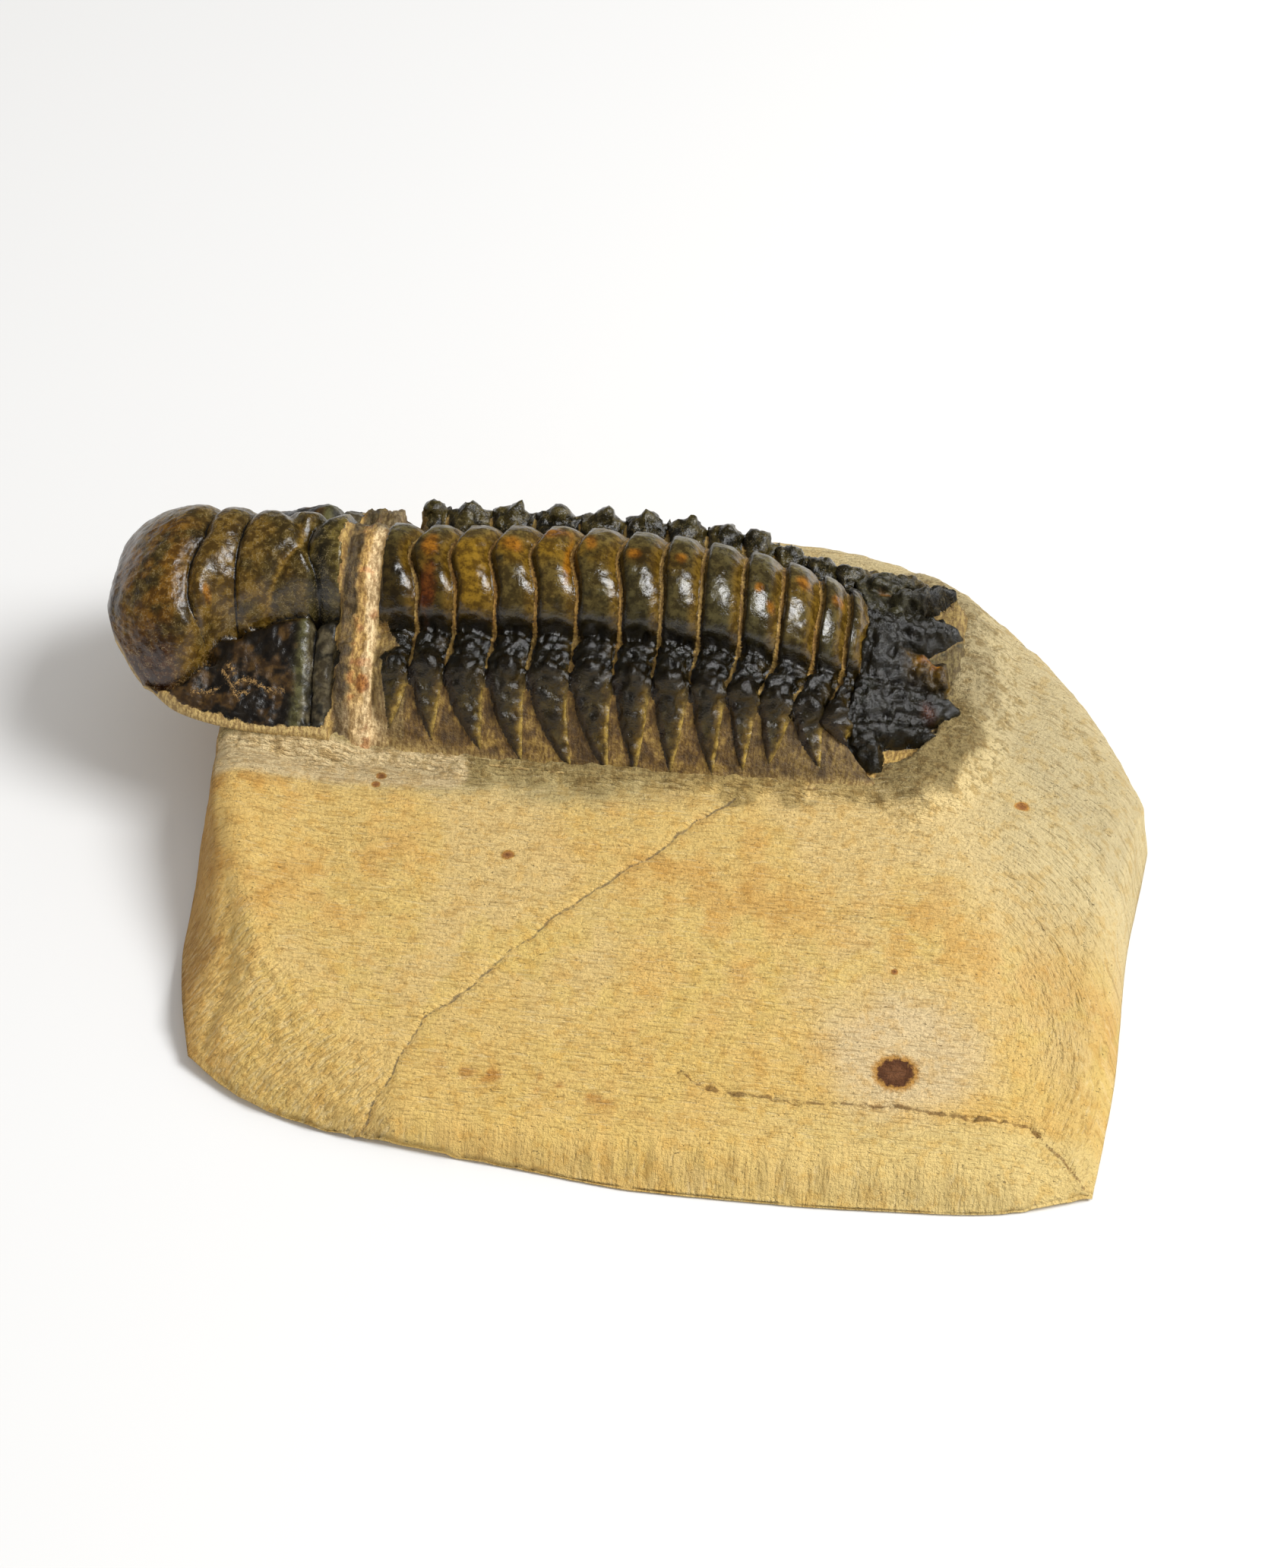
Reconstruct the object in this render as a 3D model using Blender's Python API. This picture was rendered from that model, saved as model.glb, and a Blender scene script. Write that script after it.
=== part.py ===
# Trilobite fossil lying along the back of a ground block of tan limestone.
#
# Two pieces, each one closed solid:
#   matrix     the limestone block, ground to facets, flat underneath
#   trilobite  the fossil: head shield, ringed thorax with side blades, spined tail
#
# Frame: +X runs along the fossil from its head (at -X) to its tail, +Y to the back, +Z up.
# The origin is at the middle of the bounding box, on the surface the block stands on.
# Lengths below are in millimetres, and MM turns them into metres.

import math

import bmesh
import bpy
import numpy as np

MM = 0.001

# Fossil: place and main sizes
AXIS_Y = 13.9             # the fossil's middle line, parallel to X
HALF_WIDTH = 12.9         # from the middle line to the tips of the side blades
SHOULDER = 9.0            # where the side ribs turn down into blades
BLADE_TIP_Z = 10.7
KNOB_SIDE = 8.4           # the row of knobs on the ribs, from the middle line
ROLL = 0.095              # the fossil leans to the front: rise per millimetre to the back
ROLL_FROM = (-40.0, -30.0)  # the head's front stands straight, and the lean sets in here

# Rings of the thorax: ring k has its crest at RING_0 + RING_PITCH k - RING_TAPER k k
RING_0 = -16.7
RING_PITCH = 3.5
RING_TAPER = 0.009
LAST_BLADE = 11
RIB_HALF = 0.40           # half the width of a rib, as a share of the pitch
RIB_SQUARENESS = 3        # exponent of a rib's section: 2 is round, more is flatter on top
RIB_RISE = 0.2            # the inner ribs stand this much above the furrow beside the lobe
GROOVE_DEPTH = 0.9
BLADE_GROOVE_DEPTH = 1.15
BLADE_GROOVE_FADE = 0.5   # the grooves between blades get this much shallower at the tips
BLADE_START = 0.5         # a blade starts to turn down this far inside the shoulder
BLADE_BEND = 1.35         # exponent of its fall: above 1 it turns down gradually
BLADE_CURL = 1.5          # exponent of its sweep to the tail
BLADE_TAPER = 2.2         # exponent of its outline: above 2 it narrows late
RING_ARCH = 0.65          # how far a ring's flanks lie behind its crest
RING_ARCH_SIDE = 3.2      # distance from the middle line where they reach it
LOBE_SQUARENESS = 2.2     # exponent of the middle lobe's section
KNOB = (0.6, 0.2, 0.9)    # knob on a rib: height, half length in pitches, half width
SMALL_KNOB = (1.1, 0.13, 0.7)   # the one between two ribs
AXIAL_NOTCH = (0.35, 0.3)       # line beside the middle lobe: depth, half width
TIP_SWEEP = (1.1, 1.9, 1.9, 2.6, 2.2, 1.0, 0.7, 0.9, 0.3, -0.8, 0.2, 2.2)
TIP_REACH = (11.5, 12.2, 12.5, 12.7, 12.8, 12.7, 12.6, 12.4, 12.2, 12.0, 12.0, 11.4)

# Head: places along X
HEAD_FRONT = -44.9
HEAD_BACK = -24.1
THORAX_FRONT = -21.3
BREAK_DROP = 1.1          # the rock-filled break lies this much lower
STEP_HALF = 0.3           # half the length over which one part of the body steps to the next
LOST_BLADE = (0.9, 4.6, 6.0, -20.4, -18.6)  # first ring's side is rock: drop, from, to, x range
NOSE_LENGTH = 5.0
NOSE_BOW = 1.5            # how much the nose's rows of points bow back at their ends
TAIL_BOW = -1.2

# Tail
TAIL_START = 19.0
TAIL_END = 28.6
TAIL_RINGS = (1.25, 0.35)       # rings of the tail: how many to a body ring, their height
TAIL_FALL = (0.1, 0.42, 1.1)    # side field: under the furrow, fall outwards, fall to the end
TAIL_FIELD_END = 21.4
SPINE_SECTION = (1.5, 2.4)      # how a spine's back falls away: depth, exponent

# Underside of the fossil, and the gap to the stone under it
UNDERSIDE_HEAD = 11.2
UNDERSIDE = 9.8
UNDERSIDE_TURN = (-34.0, -22.0)  # the underside steps down between these places
SEAT_GAP = 0.35
WEB = 0.5                 # thickness of the thin edge around the fossil
TUCK_HEAD = 0.80          # width of the underside as a share of the outline's
TUCK_BODY = 0.97
TUCK_NOSE = 2.2
TUCK_TAIL = 0.4

# Knots of smooth curves along X: (x, value)
CREST_Z = ((-24.5, 22.3), (-17.4, 22.4), (-10, 23.0), (-2.7, 23.4), (4.2, 23.0),
           (10.8, 21.7), (16.9, 19.3), (21, 16.9), (25, 14.7), (28.6, 13.0))
LOBE_HEIGHT = ((-24, 4.4), (6, 4.4), (16.9, 3.3), (21, 2.4), (25, 1.5), (28.6, 0.6))
LOBE_HALF = ((-24, 4.9), (8, 4.9), (17, 4.5), (21, 3.6), (25, 2.1), (28.6, 1.2))
GLABELLA_Z = ((-44.9, 14.8), (-44.3, 17.0), (-43, 19.0), (-41, 20.8), (-38, 22.1),
              (-35, 22.7), (-31, 23.0), (-24, 23.1))
GLABELLA_HALF = ((-44.9, 6.3), (-43, 7.8), (-40, 8.7), (-37.5, 8.2), (-35, 7.0),
                 (-32.5, 5.6), (-28, 4.9), (-24, 4.9))
HEAD_FURROW_Z = ((-44.9, 13.0), (-41, 12.7), (-38.5, 13.2), (-36, 14.9), (-34, 16.3),
                 (-31, 17.3), (-27, 18.0), (-24, 18.0))
MARGIN_Z = ((-44.9, 13.0), (-41, 12.4), (-38, 12.1), (-34, 12.0), (-24, 11.9))
OUTLINE_HALF = ((-44.9, 6.3), (-43.6, 7.8), (-40.3, 9.8), (-36.7, 11.6), (-33.5, 12.5),
                (-28, 12.8), (-20, 12.6), (-12, 12.9), (-2, 13.2), (8, 13.0), (16, 12.8),
                (21, 12.5), (24, 11.7), (26.5, 9.9), (28.6, 6.2))

# Furrows across the head, from the middle line outwards: (distance, x)
FURROW_S3 = ((0, -35.1), (3.6, -36.3), (5.7, -36.4), (7.6, -35.0))
FURROW_S2 = ((0, -32.3), (3.2, -32.8), (5.8, -32.9))
FURROW_S1 = ((0, -27.9), (1.7, -28.7), (4.0, -29.8), (5.6, -30.9))
FURROW_OCCIPITAL = ((0, -27.7), (2.0, -26.5), (4.6, -26.0))
FURROW_BORDER = ((5.0, -26.4), (12.5, -25.9))
# Each furrow's line, depth, half width, and the distances where it starts and ends
HEAD_FURROWS = ((FURROW_S3, 0.85, 0.75, 0.0, 7.6), (FURROW_S2, 0.7, 0.7, 0.0, 5.6),
                (FURROW_S1, 0.8, 0.7, 0.0, 5.6), (FURROW_OCCIPITAL, 0.9, 0.6, 0.0, 4.9),
                (FURROW_BORDER, 0.8, 0.55, 5.2, 12.0))
GLABELLA_SECTION = (2.6, 0.62)  # exponents: a flat top with steep sides
CHEEK_SECTION = (1.25, 0.5)     # exponent of the fall, and the bulge of the cheek
CHEEK_FURROW = (0.5, 0.5)       # line between glabella and cheek: depth, half width

# Tail spines: root (x, across), tip (x, across), height of the ridge at both, half width
TAIL_SPINES = (((19.0, -5.0), (28.2, -4.5), 16.2, 13.0, 1.6),
               ((19.0, 5.0), (28.4, 5.1), 16.4, 13.2, 1.8),
               ((20.0, -7.4), (26.4, -7.7), 14.6, 12.5, 1.3),
               ((20.0, 7.8), (26.9, 9.0), 15.3, 13.6, 1.3),
               ((22.0, 0.0), (27.2, -1.0), 15.6, 13.2, 1.5))
TAIL_ROCK_Z = 11.2
BURY = 12.0               # how far the thorax sinks where the tail takes over

# Block: upper edge of the ground top, side by side, as (x, y)
TOP_FRONT = ((-30.8, -24.7), (-28.0, -27.3), (-21.5, -29.9), (-14, -31.1), (-3.1, -32.4),
             (3.0, -33.1), (11.3, -33.4), (24, -33.2), (34.7, -32.2), (40.2, -30.3))
TOP_RIGHT = ((40.2, -30.3), (40.7, -22.7), (41.5, -9), (42.0, -2.3), (44.0, 6.2))
TOP_BACK = ((44.0, 6.2), (39.7, 14.2), (33, 22.4), (27.5, 27.1), (21.9, 30.4), (12.3, 32.3),
            (0, 31.8), (-12, 31.0), (-23, 29.6), (-31.2, 26.0))
TOP_LEFT = ((-31.2, 26.0), (-33.2, 16), (-33.6, 6), (-33.3, -2.1), (-31.7, -8.5),
            (-29.9, -14.6), (-29.4, -19.8), (-30.8, -24.7))
# Foot of the block's sides, with the same corners
FOOT_FRONT = ((-31.9, -24.9), (-28.2, -27.5), (-21.6, -30.0), (-14, -31.2), (-3, -32.5),
              (3.5, -33.3), (12, -33.5), (24, -33.3), (34.8, -32.3), (40.5, -30.5))
FOOT_RIGHT = ((40.5, -30.5), (42.1, -20.4), (43.5, -4.6), (44.5, 1.4), (45.1, 5.4))
FOOT_BACK = ((45.1, 5.4), (40.3, 14.9), (33.5, 22.6), (27.8, 27.2), (22.0, 30.5), (12.3, 32.4),
             (0, 32.0), (-12, 31.2), (-23.2, 29.8), (-32.4, 26.4))
FOOT_LEFT = ((-32.4, 26.4), (-34.8, 16), (-35.3, 6), (-35.4, -1.6), (-35.0, -7.9),
             (-34.4, -14.9), (-33.2, -20.4), (-31.9, -24.9))
FOOT_LIFT = 0.5           # height of the foot edge above the surface
FOOT_LIFT_LEFT = 2.2      # the front left is undercut, so its edge stands higher
FOOT_LIFT_X = (2.0, -20.0)
FOOT_LIFT_Y = (-8.0, -22.0)
FOOT_SHARE = 0.6          # the foot edge stays below this share of the side's height
SIDE_BULGE = 0.65         # the side's middle lies this far towards its foot
BASE_INSET = 1.3
BASE_INSET_LEFT = 4.0     # added under the undercut

# Facets of the top
TOP_SLOPE_START_Y = -1.0
TOP_SLOPE = 0.15
TOP_SLOPE_GAIN = 0.0025
FRONT_FACET = (-26.5, 5.0, 0.62)               # y of the upper edge, its height, slope
LEFT_FACET = (-22.8, -16.8, 7.0, 0.079, 0.404)  # a point of the facet and its slopes
LEFT_FACET_END = (-16.0, -6.0, 6.0)            # it lifts clear of the top from here to here
FACET_ROUNDING = 0.5
RIGHT_DROP_START_X = 30.0
RIGHT_DROP = 0.013
BACK_DROP_START_Y = 29.0
BACK_DROP = 0.02

# Surfaces: linear colour and roughness
SHELL_COLOR = (0.055, 0.042, 0.026)
SHELL_ROUGHNESS = 0.30
STONE_COLOR = (0.62, 0.44, 0.22)
STONE_ROUGHNESS = 0.85

# The frame's origin is under the middle of the box; the drawing's own zero is here
PLACE = (-0.1, 0.49)

# Mesh fineness
NOSE_ROWS = 9
HEAD_ROWS = 26
TAIL_ROWS = 16
RIB_PHASES = (-0.5, -0.4, -0.24, 0.0, 0.24, 0.4)
BLOCK_STEPS_X = 32
BLOCK_STEPS_Y = 26
SIDE_SAMPLES = (0, 1.3, 2.6, 3.8, 4.5, 4.95, 6.0, 7.4, 8.3, 9.2, 10.3, 11.4, 12.3, 12.9)


def smooth_step(low, high, value):
    share = np.clip((value - low) / (high - low), 0.0, 1.0)
    return share * share * (3.0 - 2.0 * share)


def through(value, knots):
    """A smooth curve through the knots, level beyond its ends."""
    at = np.array([knot[0] for knot in knots], float)
    height = np.array([knot[1] for knot in knots], float)
    slope = np.gradient(height, at)
    value = np.clip(value, at[0], at[-1])
    i = np.clip(np.searchsorted(at, value) - 1, 0, len(at) - 2)
    span = at[i + 1] - at[i]
    t = (value - at[i]) / span
    return ((2 * t**3 - 3 * t**2 + 1) * height[i] + (t**3 - 2 * t**2 + t) * span * slope[i]
            + (3 * t**2 - 2 * t**3) * height[i + 1] + (t**3 - t**2) * span * slope[i + 1])


def soft_max(a, b, radius):
    mix = np.clip(0.5 + 0.5 * (a - b) / radius, 0.0, 1.0)
    return b + (a - b) * mix + radius * mix * (1.0 - mix)


def soft_min(a, b, radius):
    return -soft_max(-a, -b, radius)


def ring_number(x):
    """Whole numbers are ring crests, halves are the grooves between rings."""
    root = np.sqrt(np.maximum(RING_PITCH**2 - 4 * RING_TAPER * (x - RING_0), 0.01))
    return (RING_PITCH - root) / (2 * RING_TAPER)


def ring_x(number):
    return RING_0 + RING_PITCH * number - RING_TAPER * number * number


def sweep_back(x, side):
    """How far a rib lies behind its crest, at a distance from the middle line."""
    number = np.clip(ring_number(x), 0, LAST_BLADE)
    sweep = np.interp(number, range(len(TIP_SWEEP)), TIP_SWEEP)
    reach = np.interp(number, range(len(TIP_REACH)), TIP_REACH)
    arch = RING_ARCH * smooth_step(0.0, RING_ARCH_SIDE, side)
    blade = np.clip((side - SHOULDER) / (reach - SHOULDER), 0.0, 1.3)
    return arch + (sweep - RING_ARCH) * blade**BLADE_CURL


def bell(value, half):
    return np.exp(-(value / half)**2)


def thorax_height(x, side):
    """Height of the ringed thorax, with a blade at the end of every rib."""
    crest = through(x, CREST_Z)
    lobe = through(x, LOBE_HEIGHT)
    half = through(x, LOBE_HALF)
    floor = crest - lobe
    section = np.clip(1.0 - (side / half)**LOBE_SQUARENESS, 0.0, 1.0)
    arch = floor + lobe * np.sqrt(section)
    start = SHOULDER - BLADE_START
    down = np.clip((side - start) / (HALF_WIDTH - STEP_HALF - start), 0.0, 1.1)
    ribs = floor + RIB_RISE - (floor + RIB_RISE - BLADE_TIP_Z) * down**BLADE_BEND
    envelope = np.where(side < half, arch, ribs)
    number = ring_number(x - sweep_back(x, side))
    off = number - np.round(number)
    reach = np.interp(ring_number(x), range(len(TIP_REACH)), TIP_REACH)
    blade = np.clip((side - SHOULDER) / (reach - SHOULDER), 0.0, 1.0)
    width = RIB_HALF * np.sqrt(1.0 - blade**BLADE_TAPER) + 0.001
    rib = np.sqrt(np.clip(1.0 - np.abs(off / width)**RIB_SQUARENESS, 0.0, 1.0))
    blade_depth = BLADE_GROOVE_DEPTH - BLADE_GROOVE_FADE * blade
    depth = np.where(side < SHOULDER, GROOVE_DEPTH, blade_depth)
    height, length, wide = KNOB
    knob = height * bell(off, length) * bell(side - KNOB_SIDE, wide)
    height, length, wide = SMALL_KNOB
    small = height * bell(np.abs(off) - 0.5, length) * bell(side - KNOB_SIDE, wide)
    notch = AXIAL_NOTCH[0] * bell(side - half, AXIAL_NOTCH[1])
    return envelope - depth * (1.0 - rib) + knob + small - notch


def furrow_cut(x, side, furrow):
    """A groove across the head, faded out beyond its two ends."""
    knots, depth, width, low, high = furrow
    line = through(side, knots)
    ends = smooth_step(low - 0.6, low, side) * (1.0 - smooth_step(high, high + 0.8, side))
    return depth * bell(x - line, width) * ends


def head_height(x, side):
    """Height of the head: bulging glabella, cheeks, occipital ring and borders."""
    top = through(x, GLABELLA_Z)
    half = through(x, GLABELLA_HALF)
    floor = through(x, HEAD_FURROW_Z)
    edge = through(x, OUTLINE_HALF)
    margin = through(x, MARGIN_Z)
    flat, steep = GLABELLA_SECTION
    dome = floor + (top - floor) * np.clip(1.0 - (side / half)**flat, 0.0, 1.0)**steep
    out = np.clip((side - half) / np.maximum(edge - half, 0.5), 0.0, 1.0)
    fall, bulge = CHEEK_SECTION
    cheek = floor - (floor - margin) * out**fall + bulge * np.sin(math.pi * out)
    surface = np.where(side < half, dome, cheek)
    for furrow in HEAD_FURROWS:
        surface = surface - furrow_cut(x, side, furrow)
    depth, width = CHEEK_FURROW
    return surface - depth * bell(side - half, width) * smooth_step(-41.0, -37.0, x)


def ridge_height(x, across, spine):
    """A tail spine: a round-backed ridge that narrows to its tip."""
    (x0, s0), (x1, s1), z0, z1, half = spine
    dx = x1 - x0
    ds = s1 - s0
    along = ((x - x0) * dx + (across - s0) * ds) / (dx * dx + ds * ds)
    held = np.clip(along, 0.0, 1.0)
    away = np.hypot(x - x0 - held * dx, across - s0 - held * ds)
    width = half * np.sqrt(1.02 - held**2.2)
    depth, power = SPINE_SECTION
    return z0 + (z1 - z0) * held - depth * (away / width)**power


def tail_height(x, across):
    """Height of the tail: tapering middle lobe and the spines that fan out from it."""
    side = np.abs(across)
    crest = through(x, CREST_Z)
    lobe = through(x, LOBE_HEIGHT)
    half = through(x, LOBE_HALF)
    rings, ring_height = TAIL_RINGS
    ripple = 0.5 * ring_height * (1.0 - np.cos(2.0 * math.pi * rings * ring_number(x)))
    middle = crest - ripple - 2.0 * lobe * (side / half)**LOBE_SQUARENESS
    under, outwards, endwards = TAIL_FALL
    past = np.maximum(x - TAIL_FIELD_END, 0.0)
    field = crest - lobe - under - outwards * (side - half) - endwards * past
    surface = soft_max(middle, field, 0.5)
    for spine in TAIL_SPINES:
        surface = soft_max(surface, ridge_height(x, across, spine), 0.3)
    rock = TAIL_ROCK_Z - 0.9 * smooth_step(0.75, 1.0, side / through(x, OUTLINE_HALF))
    return soft_max(surface, rock - 0.5 * smooth_step(26.0, TAIL_END, x), 0.3)


def fossil_height(x, across):
    """Height of the fossil's upper side above the surface the block stands on."""
    side = np.abs(across)
    thorax = thorax_height(x, side)
    drop, side_from, side_to, x_from, x_to = LOST_BLADE
    lost = smooth_step(side_from, side_to, side) * (1.0 - smooth_step(x_from, x_to, x))
    thorax = thorax - drop * lost
    break_rock = thorax_height(np.full_like(x, ring_x(0.0)), side) - BREAK_DROP
    in_thorax = smooth_step(THORAX_FRONT - STEP_HALF, THORAX_FRONT + STEP_HALF, x)
    body = thorax * in_thorax + break_rock * (1.0 - in_thorax)
    past_head = smooth_step(HEAD_BACK - STEP_HALF, HEAD_BACK + STEP_HALF, x)
    body = body * past_head + head_height(x, side) * (1.0 - past_head)
    # The thorax sinks out of sight where the tail rises, and the higher of the two shows
    thorax_sinks = BURY * smooth_step(TAIL_START + 1.6, TAIL_START + 5.5, x)
    tail_rises = BURY * (1.0 - smooth_step(TAIL_START - 0.8, TAIL_START + 1.2, x))
    body = soft_max(body - thorax_sinks, tail_height(x, across) - tail_rises, 0.4)
    edge = through(x, OUTLINE_HALF)
    lean = ROLL * across * (1.0 - smooth_step(SHOULDER, edge, side))
    body = body + lean * smooth_step(ROLL_FROM[0], ROLL_FROM[1], x)
    web = underside_height(x) + WEB
    body = np.where((side > edge - 0.3) & (x > THORAX_FRONT), web, body)
    return np.maximum(body, web)


def underside_height(x):
    return UNDERSIDE_HEAD + (UNDERSIDE - UNDERSIDE_HEAD) * smooth_step(*UNDERSIDE_TURN, x)


def station_places():
    """Places along the fossil where the mesh has a row of points."""
    turn = np.linspace(0.0, math.pi / 2, NOSE_ROWS)
    nose = HEAD_FRONT + NOSE_LENGTH * (1.0 - np.cos(turn))
    head = np.linspace(HEAD_FRONT + NOSE_LENGTH, HEAD_BACK - STEP_HALF - 0.1, HEAD_ROWS)[1:]
    front = THORAX_FRONT - STEP_HALF
    gap = [HEAD_BACK + STEP_HALF, 0.5 * (HEAD_BACK + STEP_HALF + front), front]
    ribs = [ring_x(k + phase) for k in range(-1, LAST_BLADE) for phase in RIB_PHASES]
    ribs = [x for x in ribs if THORAX_FRONT < x < TAIL_START + 0.6]
    tail = np.linspace(TAIL_START + 1.1, TAIL_END, TAIL_ROWS)
    return list(nose) + list(head) + gap + ribs + list(tail)


def fossil_point(station, sample):
    """Plan position of a mesh point: rows bow round both ends and follow the ribs."""
    side = sample / HALF_WIDTH
    across = side * float(through(station, OUTLINE_HALF))
    bow = NOSE_BOW * (1.0 - float(smooth_step(HEAD_FRONT, -37.0, station)))
    bow = bow + TAIL_BOW * float(smooth_step(23.0, TAIL_END, station))
    ribbed = float(smooth_step(-21.0, -18.0, station) * (1.0 - smooth_step(17.0, 20.5, station)))
    sweep = ribbed * float(sweep_back(station, abs(across)))
    return station + bow * side * side + sweep, across


def make_material(name, color, roughness):
    material = bpy.data.materials.new(name)
    material.use_nodes = True
    shader = material.node_tree.nodes["Principled BSDF"]
    shader.inputs["Base Color"].default_value = (*color, 1.0)
    shader.inputs["Roughness"].default_value = roughness
    shader.inputs["Metallic"].default_value = 0.0
    material.diffuse_color = (*color, 1.0)
    return material


def make_object(name, points, faces, material):
    mesh = bpy.data.meshes.new(name)
    mesh.from_pydata([tuple(value * MM for value in point) for point in points], [], faces)
    shape = bmesh.new()
    shape.from_mesh(mesh)
    bmesh.ops.remove_doubles(shape, verts=shape.verts, dist=0.01 * MM)
    bmesh.ops.triangulate(shape, faces=shape.faces)
    bmesh.ops.recalc_face_normals(shape, faces=shape.faces)
    shape.to_mesh(mesh)
    shape.free()
    mesh.materials.append(material)
    mesh.shade_smooth()
    mesh.set_sharp_from_angle(angle=math.radians(40))
    made = bpy.data.objects.new(name, mesh)
    made.location = (PLACE[0] * MM, PLACE[1] * MM, 0.0)
    bpy.context.collection.objects.link(made)
    return made


def grid_faces(rows, columns):
    faces = []
    for row in range(rows - 1):
        for column in range(columns - 1):
            corner = row * columns + column
            faces.append((corner, corner + 1, corner + columns + 1, corner + columns))
    return faces


def rim_indices(rows, columns):
    """The grid's border, once round."""
    first = list(range(columns))
    right = [row * columns + columns - 1 for row in range(1, rows)]
    last = [(rows - 1) * columns + column for column in range(columns - 2, -1, -1)]
    left = [row * columns for row in range(rows - 2, 0, -1)]
    return first + right + last + left


def make_trilobite():
    """One closed solid: the modelled upper side, a rolled edge and a plain underside."""
    samples = [-value for value in reversed(SIDE_SAMPLES[1:])] + list(SIDE_SAMPLES)
    stations = station_places()
    rows = len(stations)
    columns = len(samples)
    plan = [fossil_point(station, sample) for station in stations for sample in samples]
    x = np.array([place[0] for place in plan])
    across = np.array([place[1] for place in plan])
    z = fossil_height(x, across)
    points = list(zip(x, AXIS_Y + across, z))
    faces = grid_faces(rows, columns)
    rim = rim_indices(rows, columns)
    lower = {}
    for index in rim:
        px, pa = plan[index]
        tuck = TUCK_HEAD + (TUCK_BODY - TUCK_HEAD) * float(smooth_step(*UNDERSIDE_TURN, px))
        inwards = TUCK_NOSE * (1.0 - float(smooth_step(HEAD_FRONT, -40.0, px)))
        inwards = inwards - TUCK_TAIL * float(smooth_step(25.0, TAIL_END, px))
        lower[index] = len(points)
        points.append((px + inwards, AXIS_Y + pa * tuck, float(underside_height(px))))
    for here, after in zip(rim, rim[1:] + rim[:1]):
        faces.append((here, lower[here], lower[after], after))
    last = columns - 1
    for row in range(rows - 1):
        near = row * columns
        far = near + last
        faces.append((lower[near], lower[near + columns], lower[far + columns], lower[far]))
    faces.append([lower[column] for column in range(columns)])
    start = (rows - 1) * columns
    faces.append([lower[start + column] for column in range(columns)])
    shell = make_material("fossil_shell", SHELL_COLOR, SHELL_ROUGHNESS)
    return make_object("trilobite", points, faces, shell)


def line_through(knots, steps):
    """Evenly spaced points on a smooth line through the knots."""
    knots = np.array(knots, float)
    length = np.concatenate([[0], np.cumsum(np.hypot(*np.diff(knots, axis=0).T))])
    place = np.linspace(0, length[-1], steps + 1)
    columns = [through(place, list(zip(length, knots[:, axis]))) for axis in (0, 1)]
    return np.stack(columns, axis=1)


def patch(front, right, back, left):
    """Fills four border lines with a grid of plan points."""
    nx = len(front) - 1
    ny = len(right) - 1
    back = back[::-1]
    left = left[::-1]
    places = []
    for j in range(ny + 1):
        v = j / ny
        for i in range(nx + 1):
            u = i / nx
            ruled = (1 - v) * front[i] + v * back[i] + (1 - u) * left[j] + u * right[j]
            corners = ((1 - u) * (1 - v) * front[0] + u * (1 - v) * front[-1]
                       + (1 - u) * v * back[0] + u * v * back[-1])
            places.append(ruled - corners)
    return np.array(places)


def block_height(x, y):
    """Height of the ground top of the stone, facet by facet."""
    seat = underside_height(x) - SEAT_GAP
    run = np.maximum(TOP_SLOPE_START_Y - y, 0.0)
    top = seat - TOP_SLOPE * run - TOP_SLOPE_GAIN * run * run
    top = top - RIGHT_DROP * np.maximum(x - RIGHT_DROP_START_X, 0.0)**2
    top = top - BACK_DROP * np.maximum(y - BACK_DROP_START_Y, 0.0)**2
    edge_y, edge_z, slope = FRONT_FACET
    front = edge_z + slope * (y - edge_y)
    px, py, pz, slope_x, slope_y = LEFT_FACET
    left = pz + slope_x * (x - px) + slope_y * (y - py)
    surface = soft_min(top, front, FACET_ROUNDING)
    x_from, x_to, clear = LEFT_FACET_END
    return soft_min(surface, left + clear * smooth_step(x_from, x_to, x), FACET_ROUNDING)


def make_matrix():
    """The limestone block: ground top, plain sides, and a flat face to stand on."""
    counts = (BLOCK_STEPS_X, BLOCK_STEPS_Y, BLOCK_STEPS_X, BLOCK_STEPS_Y)
    tops = (TOP_FRONT, TOP_RIGHT, TOP_BACK, TOP_LEFT)
    feet = (FOOT_FRONT, FOOT_RIGHT, FOOT_BACK, FOOT_LEFT)
    top_lines = [line_through(knots, count) for knots, count in zip(tops, counts)]
    plan = patch(*top_lines)
    z = block_height(plan[:, 0], plan[:, 1])
    columns = BLOCK_STEPS_X + 1
    rows = BLOCK_STEPS_Y + 1
    points = [(x, y, height) for (x, y), height in zip(plan, z)]
    faces = grid_faces(rows, columns)
    rim = rim_indices(rows, columns)
    foot = np.concatenate([line_through(knots, count)[:-1] for knots, count in zip(feet, counts)])
    middle = foot.mean(axis=0)
    start = len(points)
    for index, (x, y) in zip(rim, foot):
        top_x, top_y, top_z = points[index]
        undercut = float(smooth_step(*FOOT_LIFT_X, x) * smooth_step(*FOOT_LIFT_Y, y))
        lift = FOOT_LIFT + (FOOT_LIFT_LEFT - FOOT_LIFT) * undercut
        side_x = top_x + SIDE_BULGE * (x - top_x)
        side_y = top_y + SIDE_BULGE * (y - top_y)
        points.append((side_x, side_y, 0.5 * (top_z + lift)))
        points.append((x, y, min(lift, FOOT_SHARE * top_z)))
        away = np.array((x, y)) - middle
        inset = BASE_INSET + BASE_INSET_LEFT * undercut
        inner = middle + away * (1.0 - inset / np.hypot(*away))
        points.append((inner[0], inner[1], 0.0))
    count = len(rim)
    for k in range(count):
        after = (k + 1) % count
        here = start + 3 * k
        then = start + 3 * after
        faces.append((rim[k], rim[after], then, here))
        faces.append((here, then, then + 1, here + 1))
        faces.append((here + 1, then + 1, then + 2, here + 2))
    faces.append([start + 3 * k + 2 for k in range(count)])
    stone = make_material("limestone", STONE_COLOR, STONE_ROUGHNESS)
    return make_object("matrix", points, faces, stone)


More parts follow.
